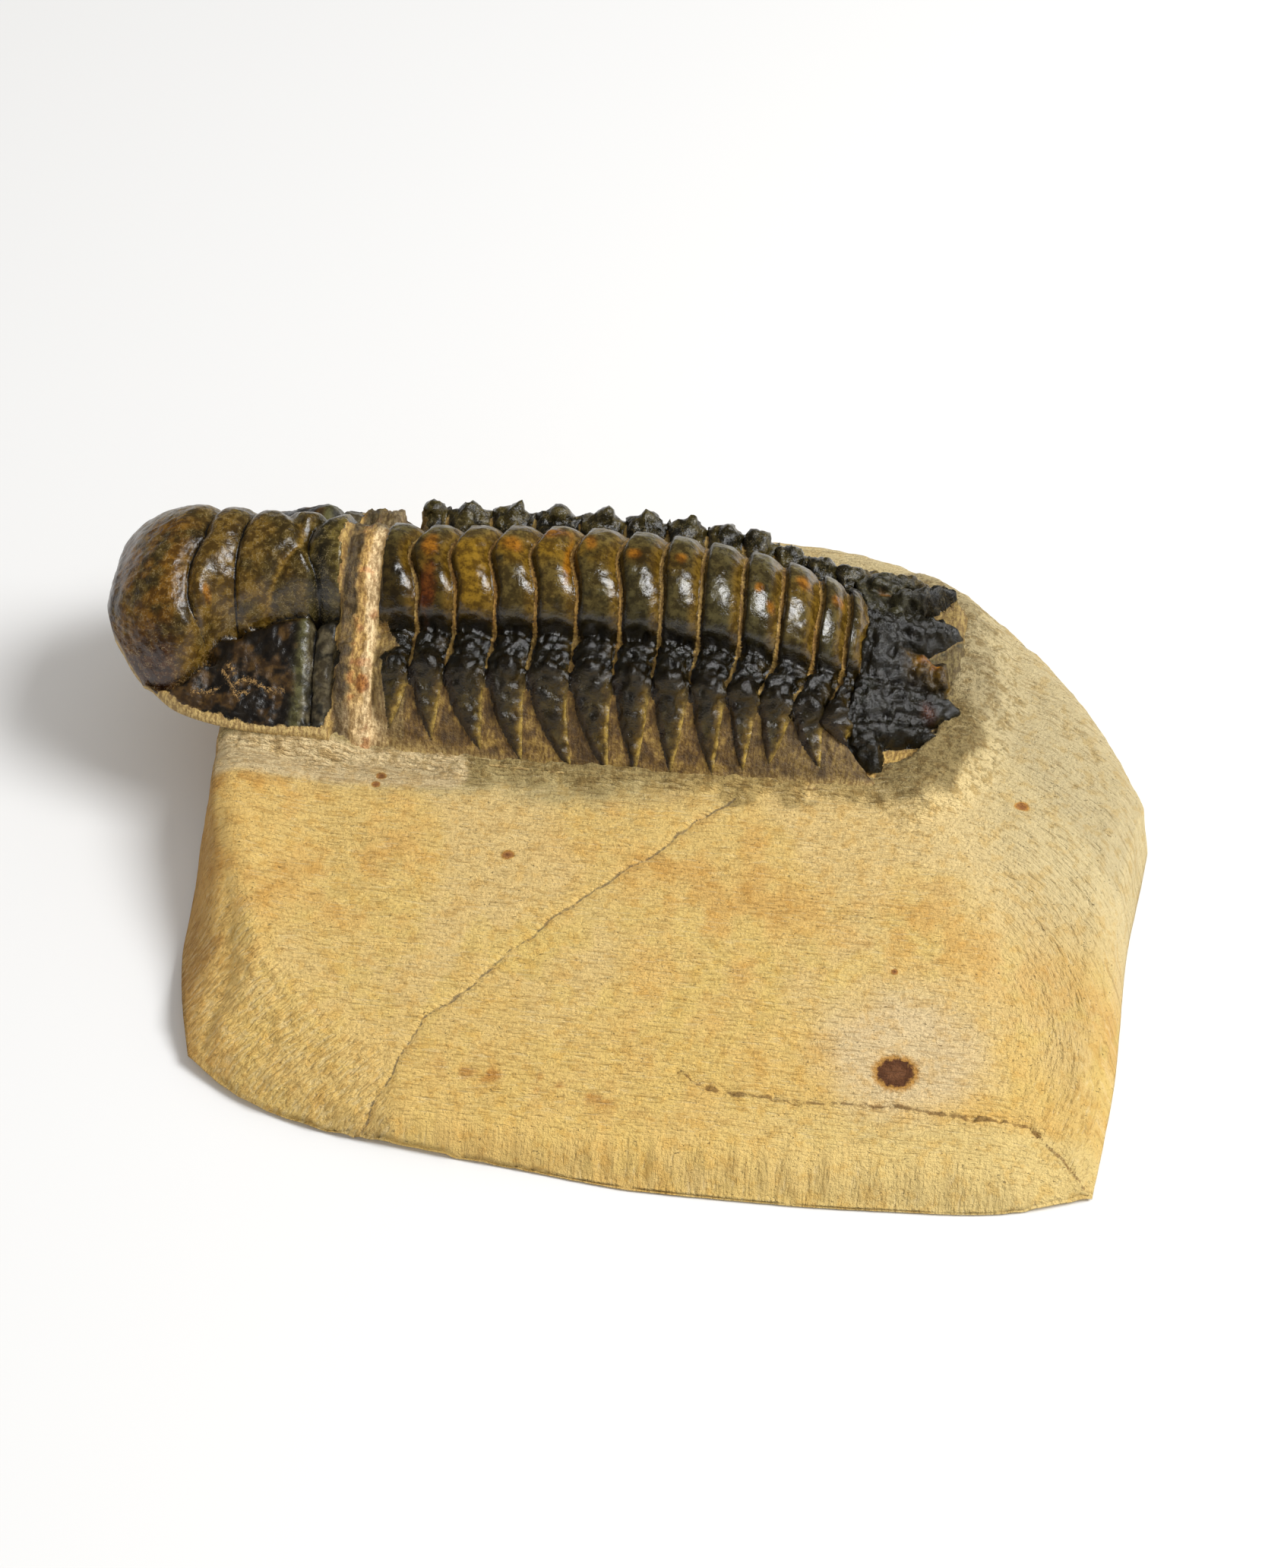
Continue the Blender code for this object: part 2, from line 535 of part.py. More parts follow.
def main():
    for old in list(bpy.data.objects):
        bpy.data.objects.remove(old, do_unlink=True)
    make_matrix()
    make_trilobite()


main()
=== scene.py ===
# %% [markdown]
# # A trilobite on its block of limestone
# A trilobite is a sea animal that lived some 400 million years ago. This one has a big round
# head, a body of rings with a blade at the end of every rib, and a tail of spines. It lies along
# the back of a block of tan limestone that was ground to shape around it.
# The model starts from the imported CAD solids: they fix where everything is, and the detailed
# pieces made below take their place. Both could be sculpted by hand. Here every form comes from
# a few measures and formulas instead, so that each can be read, checked and changed by itself.

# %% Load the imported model
import math
from functools import partial
from itertools import product

import bmesh
import bpy
import numpy as np
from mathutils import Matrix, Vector


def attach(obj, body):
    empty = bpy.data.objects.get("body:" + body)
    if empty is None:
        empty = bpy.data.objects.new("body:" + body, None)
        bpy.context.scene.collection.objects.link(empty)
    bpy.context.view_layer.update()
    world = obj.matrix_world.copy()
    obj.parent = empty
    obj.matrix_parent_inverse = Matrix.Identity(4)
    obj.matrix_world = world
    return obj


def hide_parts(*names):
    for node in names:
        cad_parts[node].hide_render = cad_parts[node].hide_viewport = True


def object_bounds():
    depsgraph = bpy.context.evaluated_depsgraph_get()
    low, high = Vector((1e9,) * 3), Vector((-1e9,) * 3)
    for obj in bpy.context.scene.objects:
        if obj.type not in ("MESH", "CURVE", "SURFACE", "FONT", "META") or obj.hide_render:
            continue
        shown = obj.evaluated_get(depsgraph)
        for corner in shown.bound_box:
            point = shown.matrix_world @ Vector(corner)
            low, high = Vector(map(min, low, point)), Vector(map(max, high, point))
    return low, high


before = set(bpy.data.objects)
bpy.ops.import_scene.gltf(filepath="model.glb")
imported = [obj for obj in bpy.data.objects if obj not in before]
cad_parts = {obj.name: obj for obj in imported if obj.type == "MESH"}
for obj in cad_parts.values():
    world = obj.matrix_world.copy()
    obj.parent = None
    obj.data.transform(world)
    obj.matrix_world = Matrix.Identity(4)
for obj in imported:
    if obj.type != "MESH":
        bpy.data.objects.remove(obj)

cad_box = [list(corner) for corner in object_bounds()]
print("CAD box in mm:", [[round(v * 1000, 1) for v in corner] for corner in cad_box])

# %% [markdown]
# ## Camera
# The photograph looks down on the stone at 48 degrees, from 25 cm away and a little from the
# right. A lens can be set by eye. Here it is worked out from how many pixels one millimetre of
# stone covers, so that the render can be laid over the photograph and compared place by place.

# %% Put the camera where the photograph was taken
MM = 0.001
PLACE = (-0.1, 0.49)          # the drawing's zero, seen from the frame's origin, in mm
AZIMUTH, ELEVATION, DISTANCE = 6.0, 48.0, 250.0
TARGET = (1.1, 2.49, 8.0)
PIXELS_PER_MM, IMAGE_HEIGHT, SENSOR = 15.7, 2064, 36.0


def add_object(name, data, location=(0, 0, 0), turned=None):
    """Puts an object in the scene, turned by a quaternion if one is given."""
    thing = bpy.data.objects.new(name, data)
    thing.location = location
    if turned:
        thing.rotation_mode = "QUATERNION"
        thing.rotation_quaternion = turned
    bpy.context.collection.objects.link(thing)
    return thing


turn, lift = math.radians(AZIMUTH), math.radians(ELEVATION)
back = Vector((math.sin(turn) * math.cos(lift), -math.cos(turn) * math.cos(lift), math.sin(lift)))
lens = bpy.data.cameras.new("camera")
lens.sensor_width = SENSOR
lens.lens = SENSOR * PIXELS_PER_MM * DISTANCE / IMAGE_HEIGHT
lens.clip_start, lens.clip_end = 0.01, 10.0
bpy.context.scene.camera = add_object("camera", lens, (Vector(TARGET) + back * DISTANCE) * MM,
                                      (-back).to_track_quat("-Z", "Y"))
print("lens", round(lens.lens, 1), "mm")

# %% [markdown]
# ## One soft lamp
# The rings carry long soft highlights and the shadow has a soft edge, so the light is broad and
# comes from the right, about as high as it is far. A sun would give hard edges and a point lamp
# small hot spots; a large square lamp gives the shape of highlight that the shell shows.

# %% Lamp
KEY_FROM = Vector((0.62, -0.06, 0.78)).normalized()
KEY_DISTANCE, KEY_SIZE, KEY_POWER, KEY_COLOR = 0.6, 0.26, 3.55, (0.985, 0.995, 1.0)

key = bpy.data.lights.new("soft_lamp", "AREA")
key.size, key.energy, key.color = KEY_SIZE, KEY_POWER, KEY_COLOR
add_object("soft_lamp", key, KEY_FROM * KEY_DISTANCE, KEY_FROM.to_track_quat("Z", "Y"))
print("lamp", round(KEY_DISTANCE * 1000), "mm away")

# %% [markdown]
# ## A pale sky that mirrors dimly
# A pale sky fills the shadows. More lamps could do it too, but each would leave its own glint.
# Black shell would mirror a bright sky and turn grey, while in a room it mirrors the dim
# ceiling. So the sky shines fully on what it lights, and is dim for the rays that mirror it.

# %% Sky
SKY_COLOR, SKY_STRENGTH, MIRRORED_STRENGTH = (1.0, 0.975, 0.94), 0.56, 0.10

sky = bpy.data.worlds.new("sky")
sky.use_nodes = True
sky_nodes, sky_links = sky.node_tree.nodes, sky.node_tree.links
fade = sky_nodes.new("ShaderNodeMapRange")
fade.inputs["To Min"].default_value = SKY_STRENGTH
fade.inputs["To Max"].default_value = MIRRORED_STRENGTH
rays = sky_nodes.new("ShaderNodeLightPath")
sky_links.new(rays.outputs["Is Glossy Ray"], fade.inputs["Value"])
sky_nodes["Background"].inputs["Color"].default_value = (*SKY_COLOR, 1.0)
sky_links.new(fade.outputs["Result"], sky_nodes["Background"].inputs["Strength"])
bpy.context.scene.world = sky
bpy.context.scene.view_settings.view_transform = "Standard"
print("sky strength", SKY_STRENGTH)

# %% [markdown]
# ## A white card to stand on
# The stone lies on plain white card. One large dull square is enough: it only has to catch the
# shadow and throw a little light back.

# %% Floor
CARD_REACH, CARD_WHITE, CARD_ROUGHNESS = 0.9, 0.82, 0.9

card = bpy.data.meshes.new("floor")
card.from_pydata([(-CARD_REACH, -CARD_REACH, 0), (CARD_REACH, -CARD_REACH, 0),
                  (CARD_REACH, CARD_REACH, 0), (-CARD_REACH, CARD_REACH, 0)], [], [(0, 1, 2, 3)])
floor = add_object("floor", card)
card_finish = bpy.data.materials.new("white_card")
card_finish.use_nodes = True
card_shader = card_finish.node_tree.nodes["Principled BSDF"]
card_shader.inputs["Base Color"].default_value = (CARD_WHITE,) * 3 + (1,)
card_shader.inputs["Roughness"].default_value = CARD_ROUGHNESS
card.materials.append(card_finish)
print("card", 2 * CARD_REACH, "m wide")

# %% [markdown]
# ## Smooth curves
# Fossils have no straight lines, so nearly every measure here is a curve through a few knots:
# the height of the back, the width of the body, the line of a furrow. Blender's own curves could
# hold them, but then each would have to be read back point by point. Plain functions give the
# value at any place at once. The soft joins let one form flow into the next.

# %% Curves and soft joins
def smooth_step(low, high, value):
    share = np.clip((value - low) / (high - low), 0.0, 1.0)
    return share * share * (3.0 - 2.0 * share)


def through(value, knots):
    """A smooth curve through the knots, level beyond its ends."""
    at = np.array([knot[0] for knot in knots], float)
    height = np.array([knot[1] for knot in knots], float)
    slope = np.gradient(height, at)
    value = np.clip(value, at[0], at[-1])
    i = np.clip(np.searchsorted(at, value) - 1, 0, len(at) - 2)
    span = at[i + 1] - at[i]
    t = (value - at[i]) / span
    return ((2 * t**3 - 3 * t**2 + 1) * height[i] + (t**3 - 2 * t**2 + t) * span * slope[i]
            + (3 * t**2 - 2 * t**3) * height[i + 1] + (t**3 - t**2) * span * slope[i + 1])


def soft_max(a, b, radius):
    mix = np.clip(0.5 + 0.5 * (a - b) / radius, 0.0, 1.0)
    return b + (a - b) * mix + radius * mix * (1.0 - mix)


def soft_min(a, b, radius):
    return -soft_max(-a, -b, radius)


def bell(value, half):
    return np.exp(-(value / half)**2)


print("halfway up a step:", float(smooth_step(0.0, 1.0, 0.5)))

# %% [markdown]
# ## Roughness made by numbers
# Rock is uneven at every size. Blender's displacement textures could push the surface about, but
# here the colours have to follow the same bumps, so the noise is made in the script and used for
# both. Each place in space has a fixed random height, and finer and fainter layers are added
# until the surface looks broken. It comes out the same on every run.

# %% Noise
PRIMES, LOW_BITS = (374761393, 668265263, 2147483647, 1274126177), 0xFFFFFFFF
FAR_FROM_ZERO = 1000.0        # keeps every place in the noise's grid above zero
FINER, FAINTER = 2.1, 0.55    # each further layer of roughness is so much smaller and weaker


def scatter(i, j, k, seed):
    """A fixed random number from 0 to 1 for every whole-numbered place."""
    mixed = (i * PRIMES[0] + j * PRIMES[1] + k * PRIMES[2] + seed * PRIMES[3]) & LOW_BITS
    mixed = ((mixed ^ (mixed >> 13)) * 1103515245) & LOW_BITS
    mixed = ((mixed ^ (mixed >> 15)) * 2654435761) & LOW_BITS
    return (mixed ^ (mixed >> 16)) / LOW_BITS


def in_grid(spot, size):
    """Places measured in cells of one size, and the cell that each is in. spot is (n, 3)."""
    place = spot / size + FAR_FROM_ZERO
    return place, np.floor(place).astype(np.int64)


def noise(spot, size, seed):
    """Smooth noise from -1 to 1, its bumps about one size apart."""
    place, cell = in_grid(spot, size)
    f = place - cell
    f = f * f * (3.0 - 2.0 * f)
    total = 0.0
    for a, b, c in product((0, 1), repeat=3):
        weight = (f[:, 0] if a else 1 - f[:, 0]) * (f[:, 1] if b else 1 - f[:, 1])
        weight = weight * (f[:, 2] if c else 1 - f[:, 2])
        total = total + weight * scatter(cell[:, 0] + a, cell[:, 1] + b, cell[:, 2] + c, seed)
    return total * 2.0 - 1.0


def rough(spot, size, seed, layers=3):
    return sum(noise(spot, size / FINER**n, seed + n) * FAINTER**n for n in range(layers))


three = np.array([[0, 0, 0], [1, 2, 3], [5.5, 0, 1]])
print("noise at three places:", noise(three, 1.0, 1).round(2))

# %% [markdown]
# ## Pits and drawn lines
# Pits could be cut with a brush one by one. Instead points are scattered at random, and the
# closer a place is to a point, the deeper it sinks. A crack, a furrow or a vein is a line through
# a few knots in the same way, and the distance to it says how deep or how dark a place is.

# %% Distance to scattered points and to lines
def pits(spot, size, seed):
    """Distance to the nearest of many scattered points, as a share of their spacing."""
    place, cell = in_grid(spot, size)
    nearest = np.full(len(spot), 9.0)
    for corner in product((-1, 0, 1), repeat=3):
        at = cell + corner
        point = at + np.stack([scatter(*at.T, seed + n) for n in range(3)], axis=1)
        nearest = np.minimum(nearest, np.linalg.norm(place - point, axis=1))
    return nearest


def to_line(x, y, knots):
    """Distance from each place to a line drawn through the knots."""
    nearest = np.full(np.shape(x), 99.0)
    for (x0, y0), (x1, y1) in zip(knots[:-1], knots[1:]):
        dx, dy = x1 - x0, y1 - y0
        t = np.clip(((x - x0) * dx + (y - y0) * dy) / (dx * dx + dy * dy), 0.0, 1.0)
        nearest = np.minimum(nearest, np.hypot(x - x0 - t * dx, y - y0 - t * dy))
    return nearest


print("pit distance at three places:", pits(three, 1.0, 1).round(2))

# %% [markdown]
# ## Colour from code
# A paint is given as it looks on a screen, from 0 to 255, and turned into the linear values a
# shader needs. Broad washes could be masks in the shader, but there each zone would need its own
# long formula. They are laid on the mesh point by point instead, where the zones are already
# known, and the shader only breaks them up.

# %% Paints and washes
def paint(red, green, blue):
    screen = np.array((red, green, blue)) / 255.0
    return np.where(screen < 0.04045, screen / 12.92, ((screen + 0.055) / 1.055)**2.4)


def wash(colors, share, color):
    """Lays a paint over the colours, as thick as share says."""
    share = np.clip(share, 0.0, 1.0)[:, None]
    return colors * (1.0 - share) + np.asarray(color) * share


def washed(colors, layers, where=1.0):
    """Lays one wash after another, each given as how thick it is and its paint."""
    for share, color in layers:
        colors = wash(colors, share * where, color)
    return colors


print("mid grey is", paint(128, 128, 128).round(3))

# %% [markdown]
# ## The fossil's measures
# The body is described along its length by knots: x runs from the head at -45 to the tail at
# 29.8, and the distance from the middle line says how far out on the side a place is. A few
# cross-sections joined up would also do, but then width, height and lobe could not be changed
# one at a time.

# %% Measures along the body
AXIS_Y = 13.9                 # the fossil's middle line on the block
HALF_WIDTH, SHOULDER = 12.9, 9.0
HEAD_FRONT, HEAD_BACK, THORAX_FRONT, TAIL_END = -44.9, -24.1, -21.3, 29.8
ROLL, ROLL_FROM = 0.095, (-40.0, -30.0)
CREST_Z = ((-24.5, 22.3), (-17.4, 22.4), (-10, 23.0), (-2.7, 23.35), (4.2, 23.0),
           (10.8, 21.7), (16.9, 19.3), (21, 16.9), (25, 14.7), (28.6, 13.0), (29.8, 12.5))
LOBE_HEIGHT = ((-24, 4.4), (6, 4.4), (16.9, 3.3), (21, 2.4), (25, 1.5), (28.6, 0.6))
LOBE_HALF = ((-24, 4.9), (8, 4.9), (17, 4.5), (21, 3.6), (25, 2.1), (28.6, 1.2))
OUTLINE_HALF = ((-44.9, 6.3), (-43.6, 7.8), (-40.3, 9.8), (-36.7, 11.6), (-33.5, 12.5),
                (-28, 12.8), (-20, 12.6), (-12, 12.9), (-2, 13.2), (8, 13.0), (16, 12.8),
                (21, 12.5), (24, 12.1), (26.5, 11.0), (28.6, 9.0), (29.8, 7.0))
print("widest at", 2 * max(half for _, half in OUTLINE_HALF), "mm")

# %% [markdown]
# ## Rings, ribs and blades
# Eleven full rings cross the body, after one that is half lost and before a short one at the
# tail. Each arches over the middle lobe, runs on as a level rib, bears a knob at the shoulder and
# turns down into a blade that sweeps towards the tail. The grooves between them are filled with
# rock. One ring could be modelled and copied, but no two are alike. So a table says where every
# groove lies at the middle line, at the lobe's edge, at the shoulder and at the tips, and the
# rings are what lies between.

# %% Where the grooves between the rings lie
GROOVE_X = np.array((
    (-24.1, -24.1, -24.1, -24.1), (-21.4, -21.1, -21.4, -20.8), (-18.8, -17.7, -17.8, -17.6),
    (-15.4, -14.5, -14.9, -13.6), (-12.0, -11.1, -11.4, -9.75), (-8.6, -7.7, -8.0, -5.9),
    (-5.1, -4.3, -4.4, -2.3), (-1.3, -0.65, -0.8, 0.35), (2.4, 2.7, 2.4, 2.95),
    (5.8, 5.9, 5.5, 6.15), (9.2, 9.3, 8.6, 9.15), (12.55, 12.45, 11.2, 11.45),
    (15.8, 15.5, 14.0, 14.65), (18.2, 18.0, 16.8, 19.0), (20.0, 19.6, 18.5, 22.3),
    (22.0, 22.0, 21.2, 24.6), (29.8, 29.8, 29.8, 29.8)))
FIRST_GROOVE, LAST_BLADE = -2.5, 11
TIP_X = (-19.3, -15.7, -11.5, -8.0, -3.8, -0.8, 1.5, 4.4, 7.9, 10.4, 12.5, 16.8, 21.2)
TIP_REACH = (11.5, 11.9, 12.2, 12.5, 12.7, 12.7, 12.6, 12.5, 12.4, 12.2, 11.8, 11.7, 10.7)
LOBE_STEP, RIB_STEP, BLADE_STEP, BLADE_SWEEP = (0.0, 3.6), (3.8, SHOULDER), 3.4, 1.6


def groove_lines(side):
    """x of every groove, one column per groove, at a distance from the middle line."""
    side = np.atleast_1d(side)[:, None]
    steps = (smooth_step(*LOBE_STEP, side), smooth_step(*RIB_STEP, side),
             np.clip((side - SHOULDER) / BLADE_STEP, 0.0, 1.1)**BLADE_SWEEP)
    lines = GROOVE_X[:, 0]
    for column, step in enumerate(steps):
        lines = lines + (GROOVE_X[:, column + 1] - GROOVE_X[:, column]) * step
    return lines


print("grooves:", len(GROOVE_X))

# %% [markdown]
# ## Ring numbers
# A place between two grooves has a ring number, and all the forms are built on that number, so
# a knob or a blade is described once and fits every ring. The animal also lies a little twisted:
# on the far side the front ribs stand nearer to the head and the rear ones lower.

# %% From place to ring number and back
FAR_SWEEP, FAR_SWEEP_FROM, FAR_SWEEP_END = 2.1, -17.0, 6.0
FAR_DROP = ((-20, 0.2), (-8, 0.4), (4, 0.7), (9, 1.0), (12.5, 1.7), (19, 2.2), (23, 0.8), (26, 0.0))


def ring_x(number, side):
    """x of a ring number at a distance from the middle line."""
    lines = groove_lines(side)
    left = np.clip(np.floor(number - FIRST_GROOVE).astype(int), 0, len(GROOVE_X) - 2)
    row = np.arange(len(left))
    share = number - FIRST_GROOVE - left
    return lines[row, left] * (1.0 - share) + lines[row, left + 1] * share


def ring_number(x, side):
    lines = groove_lines(side)
    left = np.clip((x[:, None] >= lines).sum(axis=1) - 1, 0, len(GROOVE_X) - 2)
    row = np.arange(len(left))
    share = (x - lines[row, left]) / (lines[row, left + 1] - lines[row, left])
    return FIRST_GROOVE + left + np.clip(share, 0.0, 1.0)


def blade_number(x, side):
    """The ring that a place belongs to, as a whole number."""
    return np.clip(np.round(ring_number(x, side)), -1, LAST_BLADE)


def swept(x, across):
    """How much nearer to the head the ribs of the far side stand."""
    along = np.clip((FAR_SWEEP_END - x) / (FAR_SWEEP_END - FAR_SWEEP_FROM), 0.0, 1.0)
    return FAR_SWEEP * (along * smooth_step(-23.5, -18.5, x)) * smooth_step(3.0, 7.5, across)


print("ring crests in mm:", ring_x(np.arange(12.0), np.zeros(12)).round(1))

# %% [markdown]
# ## Edges of the ribs
# A rib is steep in front and gentle behind, and its blade narrows to a tip. To shape it, every
# place has to know how far it is inside the rib's front and back edge. Where that distance is
# negative, the place lies in the rock of a groove.

# %% How far inside a rib a place lies
BLADE_TIP_Z = 10.5
ROCK_HALF, ROCK_WIDER = 0.15, 0.26          # half a groove's rock on the rings, and more at a blade
FRONT_BEND, BACK_BEND = 2.1, 1.9            # how late the blade's two edges turn to the tip


def rib_edges(x, side):
    """How far inside a rib's front and back edge a place lies, its share of the blade, the blade's
    reach and the rib's width."""
    k = blade_number(x, side)
    lines = groove_lines(np.minimum(side, SHOULDER))
    row, left = np.arange(len(x)), (k - 0.5 - FIRST_GROOVE).astype(int)
    front_end = lines[row, left] + ROCK_HALF + ROCK_WIDER * smooth_step(7.4, 9.2, side)
    back_end = lines[row, left + 1] - ROCK_HALF
    reach = np.interp(k, range(-1, 12), TIP_REACH)
    t = np.clip((side - SHOULDER) / (reach - SHOULDER), 0.0, 1.0)
    tip = np.interp(k, range(-1, 12), TIP_X)
    front = x - (front_end + (tip - front_end) * t**FRONT_BEND)
    behind = (back_end + (tip - back_end) * t**BACK_BEND) - x
    return front, behind, t, reach, back_end - front_end


ahead, *_ = rib_edges(np.array([0.0, 1.0]), np.array([0.0, 0.0]))
print("inside the front edge by", ahead.round(2), "mm")

# %% [markdown]
# ## The ringed body
# In cross-section the back is an arch over the middle lobe, then a level stretch, then a steep
# fall to the blades. A swept profile would give that, but not the rings. Here the cross-section
# gives the height, and the distance inside a rib says how much of the groove's depth comes off.

# %% Height of the ringed body
GROOVE_DEPTH, BLADE_GROOVE_DEPTH = 0.95, 1.1
ARCH_ROUND, FALL_BEND, FALL_START = 2.2, 1.35, SHOULDER - 0.5
STEEP_SHARE, GENTLE_SHARE = 0.2, 0.62       # of a ring's width, for its front and back slope


def body_shape(x, across):
    """Height of the ringed body, and how deep inside rock (+) or shell (-) a place lies."""
    side = np.abs(across)
    crest, lobe, half = (through(x, knots) for knots in (CREST_Z, LOBE_HEIGHT, LOBE_HALF))
    bed = crest - lobe
    arch = bed + lobe * np.sqrt(np.clip(1.0 - (side / half)**ARCH_ROUND, 0.0, 1.0))
    down = np.clip((side - FALL_START) / (HALF_WIDTH - 0.3 - FALL_START), 0.0, 1.1)
    ribs = bed + 0.2 - (bed + 0.2 - BLADE_TIP_Z) * down**FALL_BEND
    drop = through(x, FAR_DROP) * smooth_step(4.4, 7.0, across)
    ribs = ribs - drop * (1.0 - smooth_step(10.5, 12.0, across))
    front, behind, t, reach, width = rib_edges(x, side)
    rock = np.maximum(np.maximum(-front, -behind), side - reach)
    steep = np.clip(front / (STEEP_SHARE * width), 0, 1)
    gentle = np.clip(behind / (GENTLE_SHARE * width), 0, 1)
    ring = (1.0 - (1.0 - steep)**2.4) * (1.0 - (1.0 - gentle)**2.3)
    blade = smooth_step(0.0, 0.34, front) * (1 - (1 - np.clip(behind / 1.4, 0, 1))**2)
    blade = blade * smooth_step(0.0, 0.4, reach - side)
    outer = smooth_step(SHOULDER - 0.8, SHOULDER + 0.6, side)
    depth = GROOVE_DEPTH + (BLADE_GROOVE_DEPTH - GROOVE_DEPTH) * outer - 0.5 * t
    height = np.where(side < half, arch, ribs)
    height = height - depth * (1.0 - ring * (1.0 - outer) - blade * outer)
    return height, rock, front, behind


places = np.linspace(-20, 18, 400)
height, rock, *_ = body_shape(places, np.zeros(400))
print("back from", height.min().round(1), "to", height.max().round(1), "mm,",
      round(float((rock > 0).mean() * 100)), "% rock in the grooves")

# %% [markdown]
# ## The head
# The head is one big swelling, the glabella, cut by three pairs of furrows, with a cheek sloping
# away on each side and a raised ring at the back. It could start from a squashed ball, but its
# outline and its height along the middle are easier to match to the photograph as curves.

# %% Head measures
GLABELLA_Z = ((-44.9, 14.8), (-44.3, 17.0), (-43, 19.0), (-41, 20.8), (-38, 22.1),
              (-35, 22.7), (-31, 23.0), (-24, 23.1))
GLABELLA_HALF = ((-44.9, 6.3), (-43, 7.9), (-40, 9.4), (-38, 9.7), (-36.6, 9.2), (-35.5, 8.0),
                 (-34.8, 6.6), (-32.5, 5.4), (-30.5, 4.7), (-28, 4.2), (-26, 4.0), (-24, 4.2))
FAR_HALF = ((-44.9, 6.0), (-43, 7.3), (-40, 8.1), (-38, 7.9), (-36.5, 7.3), (-35, 6.3), (-33, 5.5),
            (-28, 4.9), (-24, 4.9))
HEAD_FURROW_Z = ((-44.9, 13.0), (-41, 12.7), (-38.5, 13.2), (-36, 14.9), (-34, 16.3),
                 (-31, 17.3), (-27, 18.0), (-24, 18.0))
MARGIN_Z = ((-44.9, 13.0), (-41, 12.4), (-38, 12.1), (-34, 12.0), (-24, 11.9))
EYE_HEIGHT = 1.3
FAR_BEND = {"third": 1.7, "second": 1.2}
DOME_SIDE, DOME_TOP, CHEEK_BEND = 2.6, 0.62, 1.25
print("head", round(HEAD_BACK - HEAD_FRONT, 1), "mm long")

# %% [markdown]
# ## The furrows
# The furrows are narrow black lines at the bottom of wider dips, so each one is cut twice: once
# wide and soft, once thin and deep. Each is a line over the head, given by where it runs at some
# distances from the middle. That keeps both sides alike, and the far side can still bend away.

# %% Furrows of the head
# (distance from the middle line, x), then depth, half width in front and behind, and reach
FURROWS = {
    "third": (((0, -36.1), (2.6, -36.8), (4.5, -36.8), (6.3, -36.3), (7.6, -34.8)),
              0.95, 1.25, 0.5, 0.0, 7.9),
    "second": (((0, -32.9), (1.2, -33.0), (3.7, -33.0), (5.1, -32.9), (6.0, -32.7)),
               0.7, 0.9, 0.45, 0.0, 5.9),
    "first": (((0, -27.9), (0.7, -27.9), (2.3, -29.0), (4.1, -30.2), (5.3, -31.1)),
              0.7, 0.65, 0.65, 0.0, 4.9),
    "neck": (((0, -27.3), (1.5, -27.0), (2.9, -26.2), (4.6, -25.9)), 1.0, 0.55, 0.75, 0.0, 4.4),
    "border": (((3.8, -26.2), (8.1, -26.1), (12.5, -25.8)), 0.8, 0.5, 0.45, 3.8, 11.6),
}
LINE_DEPTH, LINE_HALF = 0.32, 0.16


def furrow_cuts(x, across):
    """Depth of all furrows, and the distance to the nearest one's bottom."""
    side, cut, nearest = np.abs(across), 0.0, np.full(np.shape(x), 9.0)
    for name, (knots, depth, ahead, behind, low, high) in FURROWS.items():
        off = x - through(side, knots) - FAR_BEND.get(name, 0.0) * smooth_step(0.0, 5.0, across)
        reach = smooth_step(low - 0.5, low, side) * (1.0 - smooth_step(high, high + 0.7, side))
        dip = bell(off, np.where(off < 0, ahead, behind))
        thin = 0.0 if name == "first" else LINE_DEPTH
        cut = cut + (depth * dip + thin * bell(off, LINE_HALF)) * reach
        if thin:
            nearest = np.minimum(nearest, np.abs(off) + 3.0 * (1.0 - reach))
    return cut, nearest


print("furrows across the head:", len(FURROWS))

# %% [markdown]
# ## Dome and cheeks
# Inside the glabella's outline the height is a full dome, outside it the cheek falls to the
# margin, with a low swelling where the eye sat. A thin groove runs between the two. As separate
# meshes, dome and cheek would have to be sewn together all along that groove. One formula that
# changes at the outline has no seam.

# %% Height of the head
def head_shape(x, across):
    """Height of the head, and the distance to its nearest black furrow line."""
    side = np.abs(across)
    top, half, far_half, bed, edge, margin = (through(x, knots) for knots in (
        GLABELLA_Z, GLABELLA_HALF, FAR_HALF, HEAD_FURROW_Z, OUTLINE_HALF, MARGIN_Z))
    half = np.where(across > 0, far_half, half)
    dome = bed + (top - bed) * np.clip(1.0 - (side / half)**DOME_SIDE, 0.0, 1.0)**DOME_TOP
    out = np.clip((side - half) / np.maximum(edge - half, 0.5), 0.0, 1.0)
    cheek = bed - (bed - margin) * out**CHEEK_BEND + 0.55 * np.sin(math.pi * out)
    eye = bell(across - 7.8, 2.0) * bell(x + 27.6, 3.2)
    cheek = cheek + EYE_HEIGHT * eye
    cuts, nearest = furrow_cuts(x, across)
    height = np.where(side < half, dome, cheek) - cuts
    beside = np.where(side < half, 2.5 * (half - side), 0.8 * (side - half))
    beside = beside + 3.0 * (1.0 - smooth_step(-36.0, -34.8, x))
    height = height - 0.55 * bell(side - half, 0.45) * smooth_step(-41.0, -37.0, x)
    return height, np.minimum(nearest, beside)


print("head top at", head_shape(np.array([-36.0]), np.array([0.0]))[0].round(1), "mm")

# %% [markdown]
# ## The tail
# The tail is a small plate whose edge runs out into blunt spines. Each spine is a ridge with a
# round back along a line from root to tip; where one ends, rock fills the notch to the next.
# Separate cones would show a seam at each root, so the ridges are joined softly into the plate.

